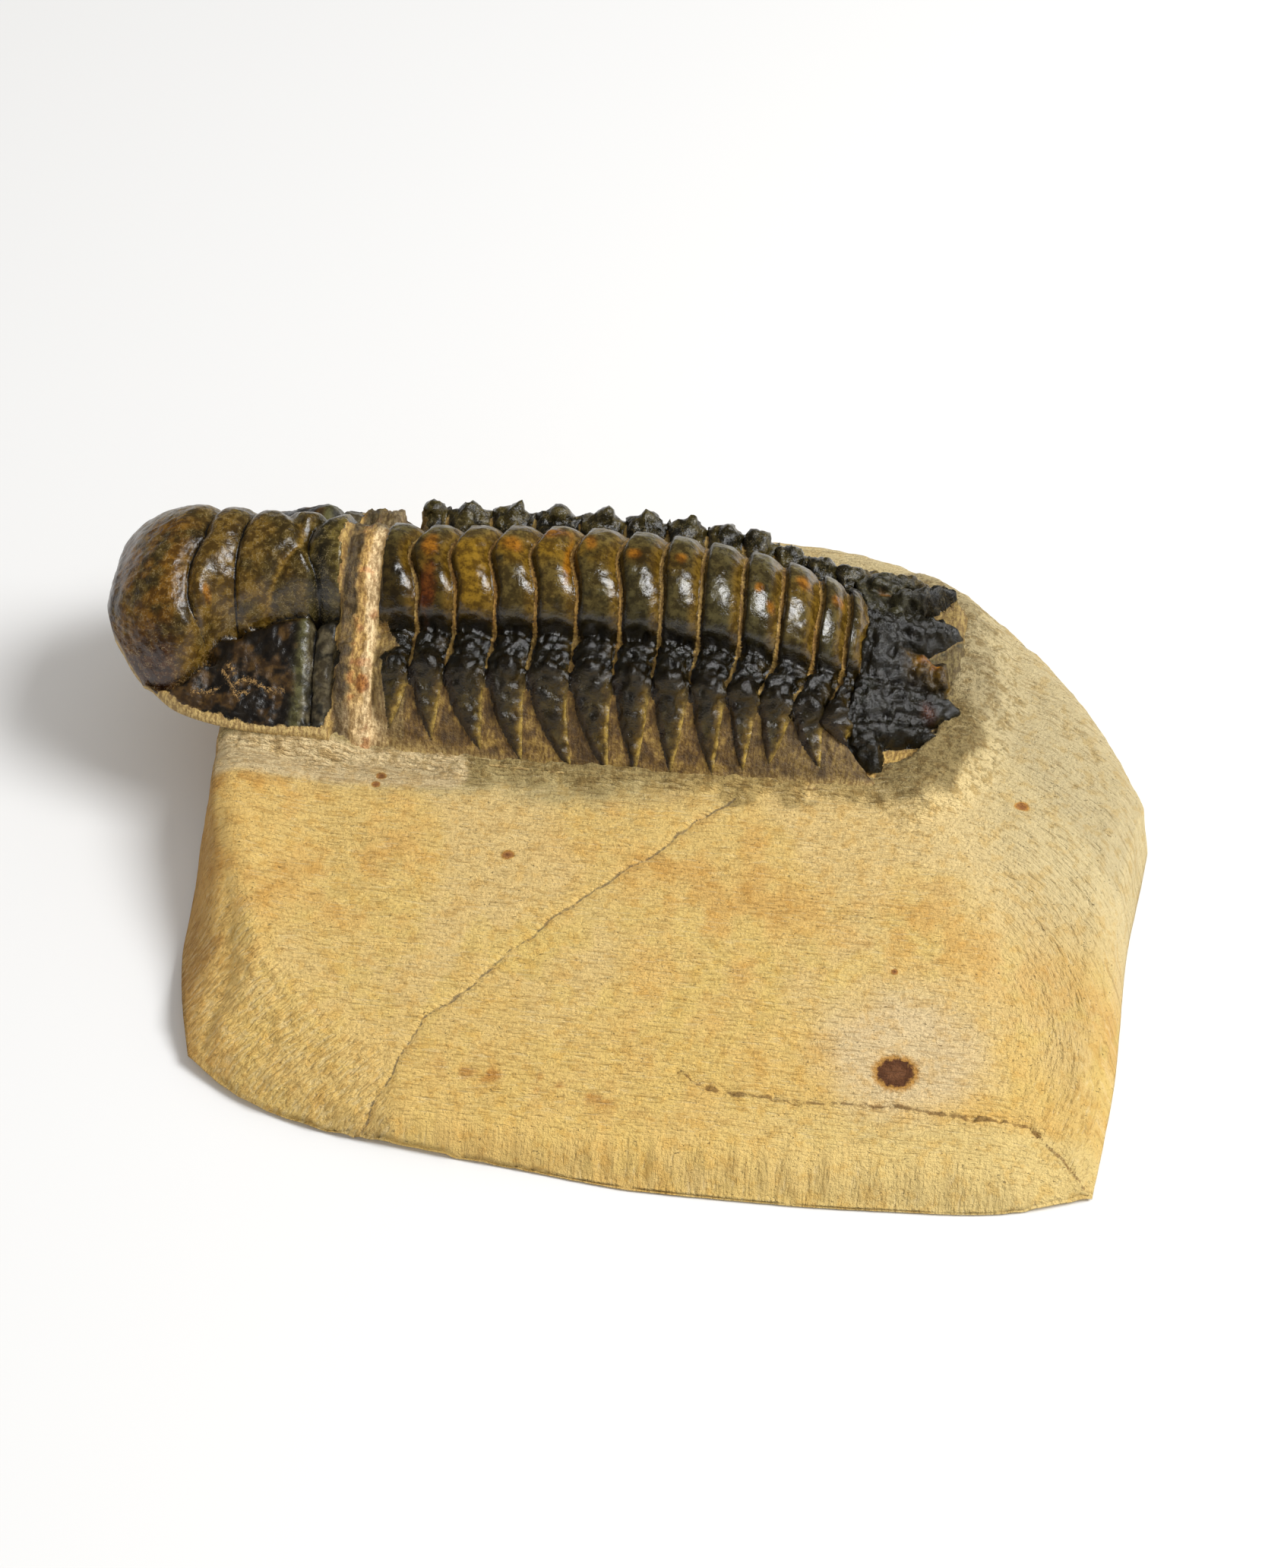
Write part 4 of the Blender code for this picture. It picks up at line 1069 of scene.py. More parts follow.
wedge = blades * smooth_step(-0.25, 0.0, rock)
pale = in_break * smooth_step(-22.9, -22.5, x + 0.5 * (ragged - 0.5)) * smooth_step(-20.7, -21.0, x)
pink = pale * smooth_step(-22.0, -21.7, x + 0.6 * (ragged - 0.5) - 0.035 * (side - 5))
flare = bell(x + 21.3, 1.6) * smooth_step(9.6, 11.4, side) * (across < 0) * (1.0 - head)
stump = (x > -20.9) * (x < -18.0) * smooth_step(4.4, 5.4, side)
rust = np.hypot((x + 21.7) / 0.55, (across + 9.6) / 0.5) + 0.6 * (ragged - 0.5)
far_notch = tail * smooth_step(4.2, 5.4, across) * smooth_step(8.6, 7.6, across)
rock_color = washed(np.tile(CREAM, (count, 1)), (
    (smooth_step(0.45, 0.7, blotch) * 0.6, paint(168, 130, 62)),
    (lobe * ring_tone * 0.7, paint(186, 136, 52)),
    (wedge, GOLD_BROWN),
    (wedge * smooth_step(0.5, 0.75, ragged) * 0.8, paint(158, 128, 64)),
    (wedge * smooth_step(0.5, 0.25, ragged) * 0.45, paint(66, 50, 25)),
    (wedge * smooth_step(6.0, 14.0, x) * 0.5, paint(96, 78, 42)),
    (tail, paint(118, 102, 62)),
    (tail * smooth_step(0.5, 0.8, ragged), paint(84, 76, 48)),
    (tail * smooth_step(6.4, 7.6, -across) * 0.85, paint(196, 160, 88)),
    (far_notch * 0.6, paint(176, 146, 82)),
    (tail * (1.0 - smooth_step(0.1, 0.6, rock)) * 0.6, paint(160, 132, 72)),
    (in_break, paint(84, 67, 35)),
    (in_break * smooth_step(0.5, 0.75, ragged) * 0.6, paint(146, 117, 62)),
    (stump, paint(128, 106, 60)),
    (stump * smooth_step(0.55, 0.75, ragged), paint(158, 132, 78)),
    (pale, paint(196, 158, 92)),
    (np.maximum(pink, flare * 0.9), paint(234, 206, 162)),
    (pale * smooth_step(0.66, 0.85, ragged) * 0.7, paint(188, 122, 66)),
    (0.8 * (1.0 - smooth_step(0.7, 1.1, rust)), paint(176, 106, 36)),
    (in_break * smooth_step(1.5, 3.5, across) * 0.85, paint(92, 78, 44)),
    (smooth_step(-0.9, -0.2, outside) * (x > -41.0) * (1 - flare), TAN)))
print("rock washes on", count, "points")

# %% [markdown]
# ## Gold veins
# Gold-coloured veins run over the cheek and along the furrow in front of it. Thin tubes on the
# surface would look stuck on. Here each vein is a line through a few knots, and only the distance
# to it is kept: the shader draws the vein from that, thin and frayed.

# %% Distance to the veins
VEINS = (((-35.9, -10.5), (-34.8, -10.4), (-33.9, -10.1)),
         ((-33.5, -8.9), (-33.0, -9.5), (-32.6, -9.9), (-31.9, -10.6)),
         ((-32.6, -9.7), (-31.8, -9.3), (-30.9, -9.4), (-29.7, -9.9), (-28.4, -9.8)),
         ((-32.4, -10.3), (-31.4, -10.2)), ((-33.2, -8.4), (-32.6, -8.9)),
         ((-34.8, -6.9), (-35.2, -7.6), (-35.5, -8.7), (-36.8, -9.5), (-37.9, -9.9)))
vein = np.minimum.reduce([to_line(x, -side, knots) for knots in VEINS]) + 9.0 * (x > -27.5)
print("gold veins:", len(VEINS))

# %% [markdown]
# ## Gloss and dents
# The real shell is polished unevenly: the rings and ribs shine, the head less, the cheek and the
# far side of the tail least. Its tiny dents are deepest on the ribs and the tail. Both are one
# number per place, so that the shader needs only one finish for the whole fossil.

# %% Gloss, painted glint lines, painted shade along the front edges, and dents
gloss = 0.7 * head + 1.0 * lobe + 1.0 * ribs + 0.7 * blades + 1.0 * tail
gloss = gloss - 0.5 * tail * smooth_step(3.0, 5.0, across)
gloss = gloss - 0.35 * lobe * smooth_step(0.0, 2.0, across)
gloss = gloss * (1.0 - 0.3 * cheek - 0.35 * cheek * smooth_step(0.4, 0.7, ragged))
# painted highlight: where the shader draws fine pale squiggles that stand for glints on the pimpled
# shell
flecks = head * (1.0 - cheek) + 0.7 * far_side * body
dents = 0.3 * head + 0.24 * lobe + 0.6 * ribs + 0.6 * blades + 0.75 * tail
# painted shade mixed with a real stain: the distance inside each ring's front edge, where the
# shader draws a dark line
edge_line = np.where(body * (1.0 - tail) * (1.0 - in_break) > 0.5, front, 9.0)
print("gloss from", gloss.min().round(2), "to", gloss.max().round(2))

# %% [markdown]
# ## Passing it on to the shader
# Colours and distances are stored on the mesh as attributes. A painted picture could carry them
# too, but it would need the mesh laid flat. A distance is worth more to a shader than a ready
# mask: it can roughen the edge with its own fine noise and still draw it sharp, finer than the
# mesh itself.

# %% Store colours and distances on the mesh
def store(mesh, name, values, rest):
    """Writes a number or a colour per point; points past the given ones get rest."""
    values = np.asarray(values, float)
    kind, key, width = ("FLOAT", "value", 1) if values.ndim == 1 else ("FLOAT_COLOR", "color", 4)
    full = np.tile(np.asarray(rest, float).reshape(1, -1), (len(mesh.vertices), 1))
    full[:len(values)] = values.reshape(len(values), -1)
    if width == 4:
        full = np.column_stack([full, np.ones(len(full))])
    layer = mesh.attributes.new(name, kind, "POINT")
    layer.data.foreach_set(key, full.astype(np.float32).ravel())


def stored(mesh):
    return ", ".join(layer.name for layer in mesh.attributes if layer.name[0] != ".")


for name, values, rest in (("shell_color", shell_color, TAN), ("rock_color", rock_color, TAN),
                           ("rock_depth", rock, 1.0), ("furrow", line, 9.0), ("vein", vein, 9.0),
                           ("gloss", gloss, 0.0), ("flecks", flecks, 0.0),
                           ("dents", dents, 1.0), ("edge_line", edge_line, 9.0)):
    store(fossil.data, name, values, rest)
print("stored:", stored(fossil.data))

# %% [markdown]
# ## Building a finish from nodes
# A finish is a small network: noise makes patterns, maps turn them into masks, and mixes lay one
# colour over another. It could be wired up by hand in the shader editor, but a network of a
# hundred nodes is hard to read there. These short helpers each add one node and hand back what it
# puts out, so a finish reads like a recipe.

# %% Nodes for numbers
def new_finish(name):
    finish = bpy.data.materials.new(name)
    finish.use_nodes = True
    shader = finish.node_tree.nodes["Principled BSDF"]
    place = finish.node_tree.nodes.new("ShaderNodeTexCoord").outputs["Object"]
    in_mm = finish.node_tree.nodes.new("ShaderNodeVectorMath")
    in_mm.operation = "SCALE"
    in_mm.inputs["Scale"].default_value = 1.0 / MM
    finish.node_tree.links.new(place, in_mm.inputs[0])
    return finish, shader, in_mm.outputs[0]


def feed(node, name, value):
    if isinstance(value, bpy.types.NodeSocket):
        node.id_data.links.new(value, node.inputs[name])
    else:
        node.inputs[name].default_value = value


def calc(how, first, second=0.0):
    tree = (first if isinstance(first, bpy.types.NodeSocket) else second).id_data
    node = tree.nodes.new("ShaderNodeMath")
    node.operation = how
    feed(node, 0, first)
    feed(node, 1, second)
    return node.outputs[0]


add, minus, times, larger = (partial(calc, how) for how in
                             ("ADD", "SUBTRACT", "MULTIPLY", "MAXIMUM"))


def wobble(pattern, amount, middle=0.5):
    """A pattern's ups and downs, as a number around zero."""
    return times(minus(pattern, middle), amount)


def mask(value, low, high, bottom=0.0, top=1.0):
    node = value.id_data.nodes.new("ShaderNodeMapRange")
    node.interpolation_type = "SMOOTHSTEP"
    for name, number in (("Value", value), ("From Min", low), ("From Max", high),
                         ("To Min", bottom), ("To Max", top)):
        feed(node, name, number)
    return node.outputs["Result"]


print("node helpers so far: new_finish, feed, calc, wobble, mask")

# %% Nodes for patterns and colours
def noise_of(place, per_mm, detail=4.0):
    node = place.id_data.nodes.new("ShaderNodeTexNoise")
    for name, value in (("Vector", place), ("Scale", per_mm), ("Detail", detail),
                        ("Roughness", 0.55)):
        feed(node, name, value)
    return node.outputs["Fac"]


def stretched(place, factors):
    node = place.id_data.nodes.new("ShaderNodeVectorMath")
    node.operation = "MULTIPLY"
    feed(node, 0, place)
    feed(node, 1, factors)
    return node.outputs[0]


def attribute(tree, name, color=False):
    node = tree.nodes.new("ShaderNodeAttribute")
    node.attribute_name = name
    return node.outputs["Color" if color else "Fac"]


def lay(share, under, over, how="MIX"):
    """Lays one colour over another; share is how thick."""
    tree = next(s for s in (share, under, over) if isinstance(s, bpy.types.NodeSocket)).id_data
    node = tree.nodes.new("ShaderNodeMix")
    node.data_type, node.blend_type = "RGBA", how
    for slot_number, value in ((0, share), (6, under), (7, over)):
        if not isinstance(value, (bpy.types.NodeSocket, float)):
            value = (*value, 1.0)
        feed(node, slot_number, value)
    return node.outputs[2]


def tinted(color, factors):
    """The same colour, with its red, green and blue each made weaker or stronger."""
    return lay(1.0, color, factors, "MULTIPLY")


def bumped(shader, height, depth_mm):
    node = shader.id_data.nodes.new("ShaderNodeBump")
    feed(node, "Height", height)
    feed(node, "Distance", depth_mm * MM)
    feed(shader, "Normal", node.outputs["Normal"])


print("and now: noise_of, stretched, attribute, lay, tinted, bumped")

# %% [markdown]
# ## The fossil's shell
# Polished shell is a dark body colour with darker and brighter patches, small dark flecks, fine
# pale squiggles on the head and the far side that are painted glints, a dark line along each
# ring's front edge that is partly stain and partly painted shade, and black creases in the
# furrows. A photograph of shell could be wrapped round it, but it would stretch on the blades.
# Noise in space fits every side alike.

# %% Shell
finish, shader, place = new_finish("fossil_shell")
tree = finish.node_tree
medium, small, grit = noise_of(place, 1.4, 5.0), noise_of(place, 4.5), noise_of(place, 13.0, 3.0)
shell_paint = attribute(tree, "shell_color", color=True)
dark_shell = tinted(shell_paint, (0.52, 0.48, 0.42))
bright_shell = tinted(shell_paint, (1.45, 1.45, 1.4))
patches = add(medium, times(small, 0.5))
shell_mix = lay(mask(patches, 0.62, 0.90), dark_shell, bright_shell)
dark_blotch = tinted(shell_mix, (0.35, 0.33, 0.30))
shell_mix = lay(mask(small, 0.56, 0.68, 0.0, 0.55), shell_mix, dark_blotch)
# painted highlight: thin pale squiggles that stand for tiny glints on the shell's pimples
glint_squiggle = calc("ABSOLUTE", minus(noise_of(place, 2.4, 2.0), 0.5))
glint_squiggle = times(mask(glint_squiggle, 0.0, 0.03, 1.0, 0.0), mask(medium, 0.44, 0.56))
glint_squiggle = times(glint_squiggle, attribute(tree, "flecks"))
shell_mix = lay(times(glint_squiggle, 0.4), shell_mix, paint(176, 156, 112))
# painted shade mixed with a real stain: a dark line along each ring's front edge
edge = add(attribute(tree, "edge_line"), wobble(small, 0.3))
shell_mix = lay(mask(edge, 0.05, 0.32, 0.75, 0.0), shell_mix, paint(22, 13, 9))
crease = minus(attribute(tree, "furrow"), wobble(small, 0.2))
shell_mix = lay(mask(crease, 0.03, 0.15, 1.0, 0.0), shell_mix, paint(16, 13, 10))
print("shell:", len(tree.nodes), "nodes")

# %% [markdown]
# ## Rock and gold on the fossil
# The rock beside the shell is dull and grainy, with fine streaks along the body. Two materials
# on two sets of faces would meet in steps. The stored distance to the rock's edge is used
# instead, and fine noise frays it, so that it looks like stone and not like paint.

# %% Rock and veins
streaky = noise_of(stretched(place, (4.5, 1.3, 1.3)), 1.0)
rock_paint = attribute(tree, "rock_color", color=True)
dark_rock, bright_rock = (tinted(rock_paint, by) for by in ((0.58, 0.50, 0.37), (1.22, 1.22, 1.12)))
rock_mix = lay(mask(add(times(small, 0.5), streaky), 0.62, 0.90), dark_rock, bright_rock)
rock_mix = lay(mask(grit, 0.60, 0.72, 0.0, 0.3), rock_mix, paint(90, 68, 36))
is_rock = mask(add(attribute(tree, "rock_depth"), wobble(small, 0.28)), -0.05, 0.05)
vein_width = minus(minus(attribute(tree, "vein"), wobble(small, 1.2)), wobble(grit, 0.9))
is_vein = mask(vein_width, -0.02, 0.16, 0.85, 0.0)
fossil_color = lay(is_rock, shell_mix, rock_mix)
feed(shader, "Base Color", lay(is_vein, fossil_color, paint(172, 132, 70)))
print("with rock and veins:", len(tree.nodes), "nodes")

# %% [markdown]
# ## The wet look
# Polished shell looks wet, with one highlight broken into many glints. A clear coat gives the
# wetness but a single clean glint. A low roughness with tiny dents in it gives both, and where
# the rock is, the gloss goes.

# %% Gloss and dents
dull = add(mask(attribute(tree, "gloss"), 0.2, 1.0, 0.42, 0.10), wobble(medium, 0.25))
rock_share = larger(is_rock, is_vein)
feed(shader, "Roughness", add(times(dull, minus(1.0, rock_share)), times(rock_share, 0.6)))
feed(shader, "Specular IOR Level", 0.65)
grain = add(times(small, 1.0), times(grit, 0.4))
grain = add(grain, times(noise_of(place, 2.2, 2.0), 0.7))
strength = larger(attribute(tree, "dents"), rock_share)
bumped(shader, times(grain, strength), 0.13)
fossil.data.materials.append(finish)
print("fossil finish:", len(tree.nodes), "nodes")

# %% [markdown]
# ## The block
# The stone was sawn and then ground by hand: a top that slopes gently to the front, a narrow
# facet along the front edge, another at the front left corner, and sides left rough. A cube cut
# by planes would have dead straight edges. Four border lines through measured corners say where
# the top ends instead, and filling them in gives an even net of points.

# %% Outlines of the block
TOP_FRONT = ((-30.8, -24.7), (-28.0, -27.3), (-21.5, -29.9), (-14, -31.1), (-3.1, -32.4),
             (3.0, -33.1), (11.3, -33.4), (24, -33.2), (34.7, -32.2), (40.2, -30.3))
TOP_RIGHT = ((40.2, -30.3), (40.7, -22.7), (41.5, -9), (42.0, -2.3), (44.0, 6.2))
TOP_BACK = ((44.0, 6.2), (39.7, 14.2), (33, 22.4), (27.5, 27.1), (21.9, 30.4), (12.3, 32.3),
            (0, 31.8), (-12, 31.0), (-23, 29.6), (-31.2, 26.0))
TOP_LEFT = ((-31.2, 26.0), (-33.2, 16), (-33.6, 6), (-33.3, -2.1), (-31.7, -8.5),
            (-29.9, -14.6), (-29.4, -19.8), (-30.8, -24.7))
FOOT_FRONT = ((-31.9, -24.9), (-28.2, -27.5), (-21.6, -30.0), (-14, -31.2), (-3, -32.5),
              (3.5, -33.3), (12, -33.5), (24, -33.3), (34.8, -32.3), (40.5, -30.5))
FOOT_RIGHT = ((40.5, -30.5), (42.1, -20.4), (43.5, -4.6), (44.5, 1.4), (45.1, 5.4))
FOOT_BACK = ((45.1, 5.4), (40.3, 14.9), (33.5, 22.6), (27.8, 27.2), (22.0, 30.5), (12.3, 32.4),
             (0, 32.0), (-12, 31.2), (-23.2, 29.8), (-32.4, 26.4))
FOOT_LEFT = ((-32.4, 26.4), (-34.8, 16), (-35.3, 6), (-35.4, -1.6), (-35.0, -7.9),
             (-34.4, -14.9), (-33.2, -20.4), (-31.9, -24.9))
STEPS_X, STEPS_Y = 310, 256
print("net of", STEPS_X, "by", STEPS_Y, "squares")

# %% Fill the outline of the top
def line_through(knots, steps):
    """Evenly spaced points on a smooth line through the knots."""
    knots = np.array(knots, float)
    length = np.concatenate([[0], np.cumsum(np.hypot(*np.diff(knots, axis=0).T))])
    place = np.linspace(0, length[-1], steps + 1)
    return np.stack([through(place, list(zip(length, knots[:, axis]))) for axis in (0, 1)], axis=1)


def fill(front, right, back, left):
    """Fills four border lines with a grid of points."""
    u = np.linspace(0, 1, len(front))[None, :, None]
    v = np.linspace(0, 1, len(right))[:, None, None]
    back, left = back[::-1], left[::-1]
    ruled = (1 - v) * front[None] + v * back[None] + (1 - u) * left[:, None] + u * right[:, None]
    corners = ((1 - u) * (1 - v) * front[0] + u * (1 - v) * front[-1]
               + (1 - u) * v * back[0] + u * v * back[-1])
    return (ruled - corners).reshape(-1, 2)


counts = (STEPS_X, STEPS_Y, STEPS_X, STEPS_Y)
borders = [line_through(knots, count)
           for knots, count in zip((TOP_FRONT, TOP_RIGHT, TOP_BACK, TOP_LEFT), counts)]
plan = fill(*borders)
print("block top:", len(plan), "points")

# %% [markdown]
# ## Ground facets
# Each facet is a plane, and the lowest of them wins, with a slightly rounded edge between. A
# bevelled block would need its corners moved by hand until they fit; planes meet by themselves
# where they should, and each can be tilted alone.

# %% Heights of the block's top
SEAT_GAP, TOP_FALL, TOP_CURVE = 0.35, 0.15, 0.0025
FRONT_FACET = (-26.5, 5.0, 0.62)                    # y and height of a line on it, and its slope
LEFT_FACET = (-22.8, -16.8, 7.0, 0.079, 0.404)      # a point on it, and its slopes along x and y
LEFT_FACET_END = (-16.0, -6.0, 6.0)                 # it runs out from here to there, by lifting


def block_shape(x, y):
    """Height of the block's top, and how far it stands above the front and left facets."""
    top = underside_height(x) - SEAT_GAP
    run = np.maximum(-1.0 - y, 0.0)
    top = top - TOP_FALL * run - TOP_CURVE * run * run
    top = top - 0.013 * np.maximum(x - 30.0, 0.0)**2 - 0.02 * np.maximum(y - 29.0, 0.0)**2
    edge_y, edge_z, slope = FRONT_FACET
    front = edge_z + slope * (y - edge_y)
    px, py, pz, slope_x, slope_y = LEFT_FACET
    left = pz + slope_x * (x - px) + slope_y * (y - py)
    first, last, clear = LEFT_FACET_END
    left = left + clear * smooth_step(first, last, x)
    return soft_min(soft_min(top, front, 0.25), left, 0.3), top - front, top - left


stone_x, stone_y = plan.T
stone_z, front_rise, left_rise = block_shape(stone_x, stone_y)
stone_spot = np.column_stack([stone_x, stone_y, stone_z])
print("top from", stone_z.min().round(1), "to", stone_z.max().round(1), "mm high")

# %% [markdown]
# ## The bed of the fossil
# Along the fossil the stone was left standing as a rough bank that rises to the tips of the
# blades and wraps the tail, so the fossil looks grown into the block. A separate strip of rock
# would look like a collar. The bank is part of the top: its height depends on how far a place
# is from the fossil's outline.

# %% Distance from the fossil, and the bank
def bank_height(away, x):
    """Height of the rough bank beside the fossil, at a distance from its outline."""
    at_head = 1.0 - smooth_step(-26.0, -21.0, x)
    crest = 10.45 + 1.05 * smooth_step(20.0, 26.0, x) + 1.35 * at_head
    width = 1.3 + 1.2 * smooth_step(18.0, 26.0, x) - 0.2 * at_head
    return crest - 1.1 * (np.maximum(away + 0.4, 0.0) / width)**1.3


edge_x = np.linspace(HEAD_FRONT + 1.5, TAIL_END, 120)
edge_half = through(edge_x, OUTLINE_HALF)
edge_x_bowed = edge_x - TAIL_BOW * smooth_step(TAIL_BOW_FROM, TAIL_END, edge_x)
outline = list(zip(edge_x_bowed, AXIS_Y - edge_half)) + [(TAIL_END, AXIS_Y)]
outline += list(zip(edge_x_bowed[::-1], (AXIS_Y + edge_half)[::-1]))
away = to_line(stone_x, stone_y, outline)
inside = np.abs(stone_y - AXIS_Y) < through(stone_x, OUTLINE_HALF)
away = np.where(inside & (stone_x < TAIL_END - 0.6), -away, away)
stone_ragged = rough(stone_spot, 1.6, 81)
bank = bank_height(away + 0.5 * stone_ragged, stone_x)
on_bank = smooth_step(-0.5, 0.6, bank - stone_z)
stone_z = np.where(away > -2.5, soft_max(stone_z, bank, 0.25), stone_z)
print("bank rises to", round(float(stone_z.max()), 1), "mm")

# %% [markdown]
# ## Marks of the grinding
# A rotary tool leaves fine parallel strokes. They run along the stone on the upper slope, turn
# round on the right end, and go straight down the narrow front facet. Drawn one by one they would
# take hundreds of lines. Each kind of stroke is noise stretched many times longer than wide, and
# each place says how much of each kind it has.

# %% Strokes in the stone
SWIRL_CENTRE, SWIRL_TURN = (24.0, -20.0), 16.0      # the turn's centre, and mm per radian of it


def strokes(across_place, along_place, wide, long, seed):
    place = np.column_stack([along_place / long, across_place / wide, across_place * 0])
    return noise(place, 1.0, seed)


front_facet, left_facet = smooth_step(-0.3, 0.8, front_rise), smooth_step(-0.3, 0.8, left_rise)
swirl_x, swirl_y = stone_x - SWIRL_CENTRE[0], stone_y - SWIRL_CENTRE[1]
from_centre, round_centre = np.hypot(swirl_x, swirl_y), np.arctan2(swirl_y, swirl_x) * SWIRL_TURN
swirl = smooth_step(24.0, 34.0, stone_x + 0.25 * stone_y) * (1.0 - front_facet)
combed = (1.0 - swirl) * (1.0 - front_facet) * (1.0 - left_facet)
band = bell(stone_y + 0.4 - 0.035 * (stone_x + 33), 1.5)
band = band * (1.0 - smooth_step(-14.0, -11.5, stone_x)) * (stone_x > -34)
tool = combed * (0.07 * strokes(stone_y, stone_x, 0.75, 3.0, 91)
                 + 0.05 * strokes(stone_y, stone_x, 0.5, 1.6, 92))
tool = tool + swirl * 0.13 * strokes(from_centre, round_centre, 0.7, 2.0, 93)
tool = tool + front_facet * 0.26 * strokes(stone_x, stone_y, 0.8, 3.5, 94)
tool = tool + left_facet * 0.17 * strokes(stone_x + stone_y, stone_x - stone_y, 0.8, 3.0, 95)
tool = tool + band * 0.12 * strokes(stone_y, stone_x, 0.6, 7.0, 96)
grainy = rough(stone_spot, 0.9, 101)
stone_z = stone_z + tool + 0.12 * rough(stone_spot, 9.0, 105, 2) + 0.025 * grainy
stone_z = stone_z + on_bank * (0.16 * stone_ragged + 0.10 * grainy)
print("strokes up to", round(float(np.abs(tool).max()), 2), "mm deep")

# %% [markdown]
# ## Crack and pits
# A mended crack runs across the slope, a row of pits follows the edge of the front facet, and
# small dings are scattered on the right. They could be cut with a knife tool, but the mesh would
# tear into slivers. They are sunk by their distance instead, and the top's rim is worn round.

# %% Crack, pits, dings and the worn rim
CRACK = ((9.8, 0.1), (8.2, -1.6), (5.7, -3.7), (4.1, -5.6), (2.3, -7.0), (-0.6, -9.6),
         (-4.2, -12.9), (-6.1, -15.0), (-8.5, -17.7), (-10.6, -20.1), (-12.8, -22.0),
         (-14.2, -24.8), (-14.9, -26.9), (-15.7, -28.4), (-17.0, -30.6))
PIT_LINE = ((7.6, -24.6), (9.6, -25.6), (11.8, -26.1), (18.0, -26.3), (24.8, -26.1), (30.0, -26.5),
            (35.4, -26.4), (37.6, -28.4), (39.9, -30.1))
DING_DEPTH, RIM_DROP, RIM_WIDTH = 0.14, 1.1, 2.2

crack = to_line(stone_x + 0.22 * stone_ragged, stone_y + 0.22 * stone_ragged[::-1], CRACK)
pit_line = to_line(stone_x + 0.3 * stone_ragged, stone_y, PIT_LINE)
stone_z = stone_z - 0.22 * bell(crack, 0.22)
stone_z = stone_z - 0.45 * bell(pit_line, 0.34) * smooth_step(-0.1, 0.3, grainy)
dings = 1.0 - smooth_step(0.10, 0.22, pits(stone_spot * (1, 1, 0.2), 2.3, 111))
stone_z = stone_z - DING_DEPTH * dings * (0.4 + swirl)
to_rim = np.minimum.reduce([to_line(stone_x, stone_y, line[::8].tolist()) for line in borders])
worn_rim = np.clip(1.0 - to_rim / RIM_WIDTH, 0.0, 1.0)**2
stone_z = stone_z - RIM_DROP * worn_rim * (1.0 + 0.15 * stone_ragged)
ridge_dots = bell(to_rim - 2.6, 0.45) * smooth_step(36.0, 39.0, stone_x)
stone_z = stone_z - 0.22 * (ridge_dots * smooth_step(0.1, 0.5, grainy))
stone_z = np.maximum(stone_z, 0.35)
print("crack", round(sum(math.dist(a, b) for a, b in zip(CRACK, CRACK[1:]))), "mm long")

# %% [markdown]
# ## Sides and base of the block
# The sides are left coarse, the front left is undercut, and underneath is one flat face for the
# stone to stand on. Extruding the rim straight down would give a slab. Each row of the sides is
# placed between the rim and the foot line by a curve, so the rim stays full and the foot tucks in.

# %% Foot of the block
SIDE_ROWS, UNDER_ROWS = 11, 2
FOOT_LIFT, FOOT_LIFT_LEFT, BASE_INSET, UNDERCUT_INSET = 0.5, 2.2, 1.3, 4.0

stone_top = np.column_stack([stone_x, stone_y, stone_z])
stone_rim = rim_indices(STEPS_Y + 1, STEPS_X + 1)
foot = np.concatenate([line_through(knots, count)[:-1] for knots, count in
                       zip((FOOT_FRONT, FOOT_RIGHT, FOOT_BACK, FOOT_LEFT), counts)])
top_edge = stone_top[stone_rim]
undercut = smooth_step(2.0, -20.0, foot[:, 0]) * smooth_step(-8.0, -22.0, foot[:, 1])
lift = FOOT_LIFT + (FOOT_LIFT_LEFT - FOOT_LIFT) * undercut
lift = np.minimum(lift, 0.6 * top_edge[:, 2])
outwards = foot - foot.mean(axis=0)
outwards /= np.linalg.norm(outwards, axis=1, keepdims=True)
base_inset = BASE_INSET + UNDERCUT_INSET * undercut
print("foot line of", len(foot), "points")

# %% Sides, and the finished block
stone_parts, stone_faces, loop = [stone_top], [grid_faces(STEPS_Y + 1, STEPS_X + 1)], stone_rim
for step in range(1, SIDE_ROWS + 1):
    down = min(step / (SIDE_ROWS - UNDER_ROWS), 1.0)
    level = top_edge[:, 2] + (lift - top_edge[:, 2]) * down**1.3
    plane = top_edge[:, :2] + (foot - top_edge[:, :2]) * down**0.75
    if step > SIDE_ROWS - UNDER_ROWS:
        under = (step - SIDE_ROWS + UNDER_ROWS) / UNDER_ROWS
        level = lift * (1.0 - under)
        plane = foot - outwards * (base_inset * under)[:, None]
    strip = np.column_stack([plane, level])
    coarse = 0.22 * rough(strip, 2.2, 121) + 0.1 * rough(strip, 0.8, 125)
    inwards = (0.15 + 0.6 * coarse) * math.sin(math.pi * min(down, 0.95))
    strip[:, :2] -= outwards * inwards[:, None]
    below = points_in(stone_parts) + np.arange(len(foot))
    stone_parts.append(strip)
    stone_faces.append(bridge(loop, below))
    loop = below
stone_points = np.concatenate(stone_parts)
low_corner, high_corner = np.array(cad_box)[:, :2] / MM - PLACE
stone_points[:, :2] = np.clip(stone_points[:, :2], low_corner + 0.01, high_corner - 0.01)
stone = make_piece("block", stone_points, stone_faces, [list(loop)], "matrix")
print("block:", len(stone_points), "points,", sum(len(f) for f in stone_faces) * 2, "triangles")

# %% [markdown]
# ## The slope's colours
# The limestone is tan like dry bread, with paler and more ochre clouds, a pale right end and a
# warm arc across the slope. One flat tan with noise would look like cardboard: the real colours
# change from zone to zone. So the zones are washed by place, as on the fossil.

# %% Washes for the slope
STONE_TAN, STONE_PALE = paint(238, 204, 128), paint(229, 209, 160)

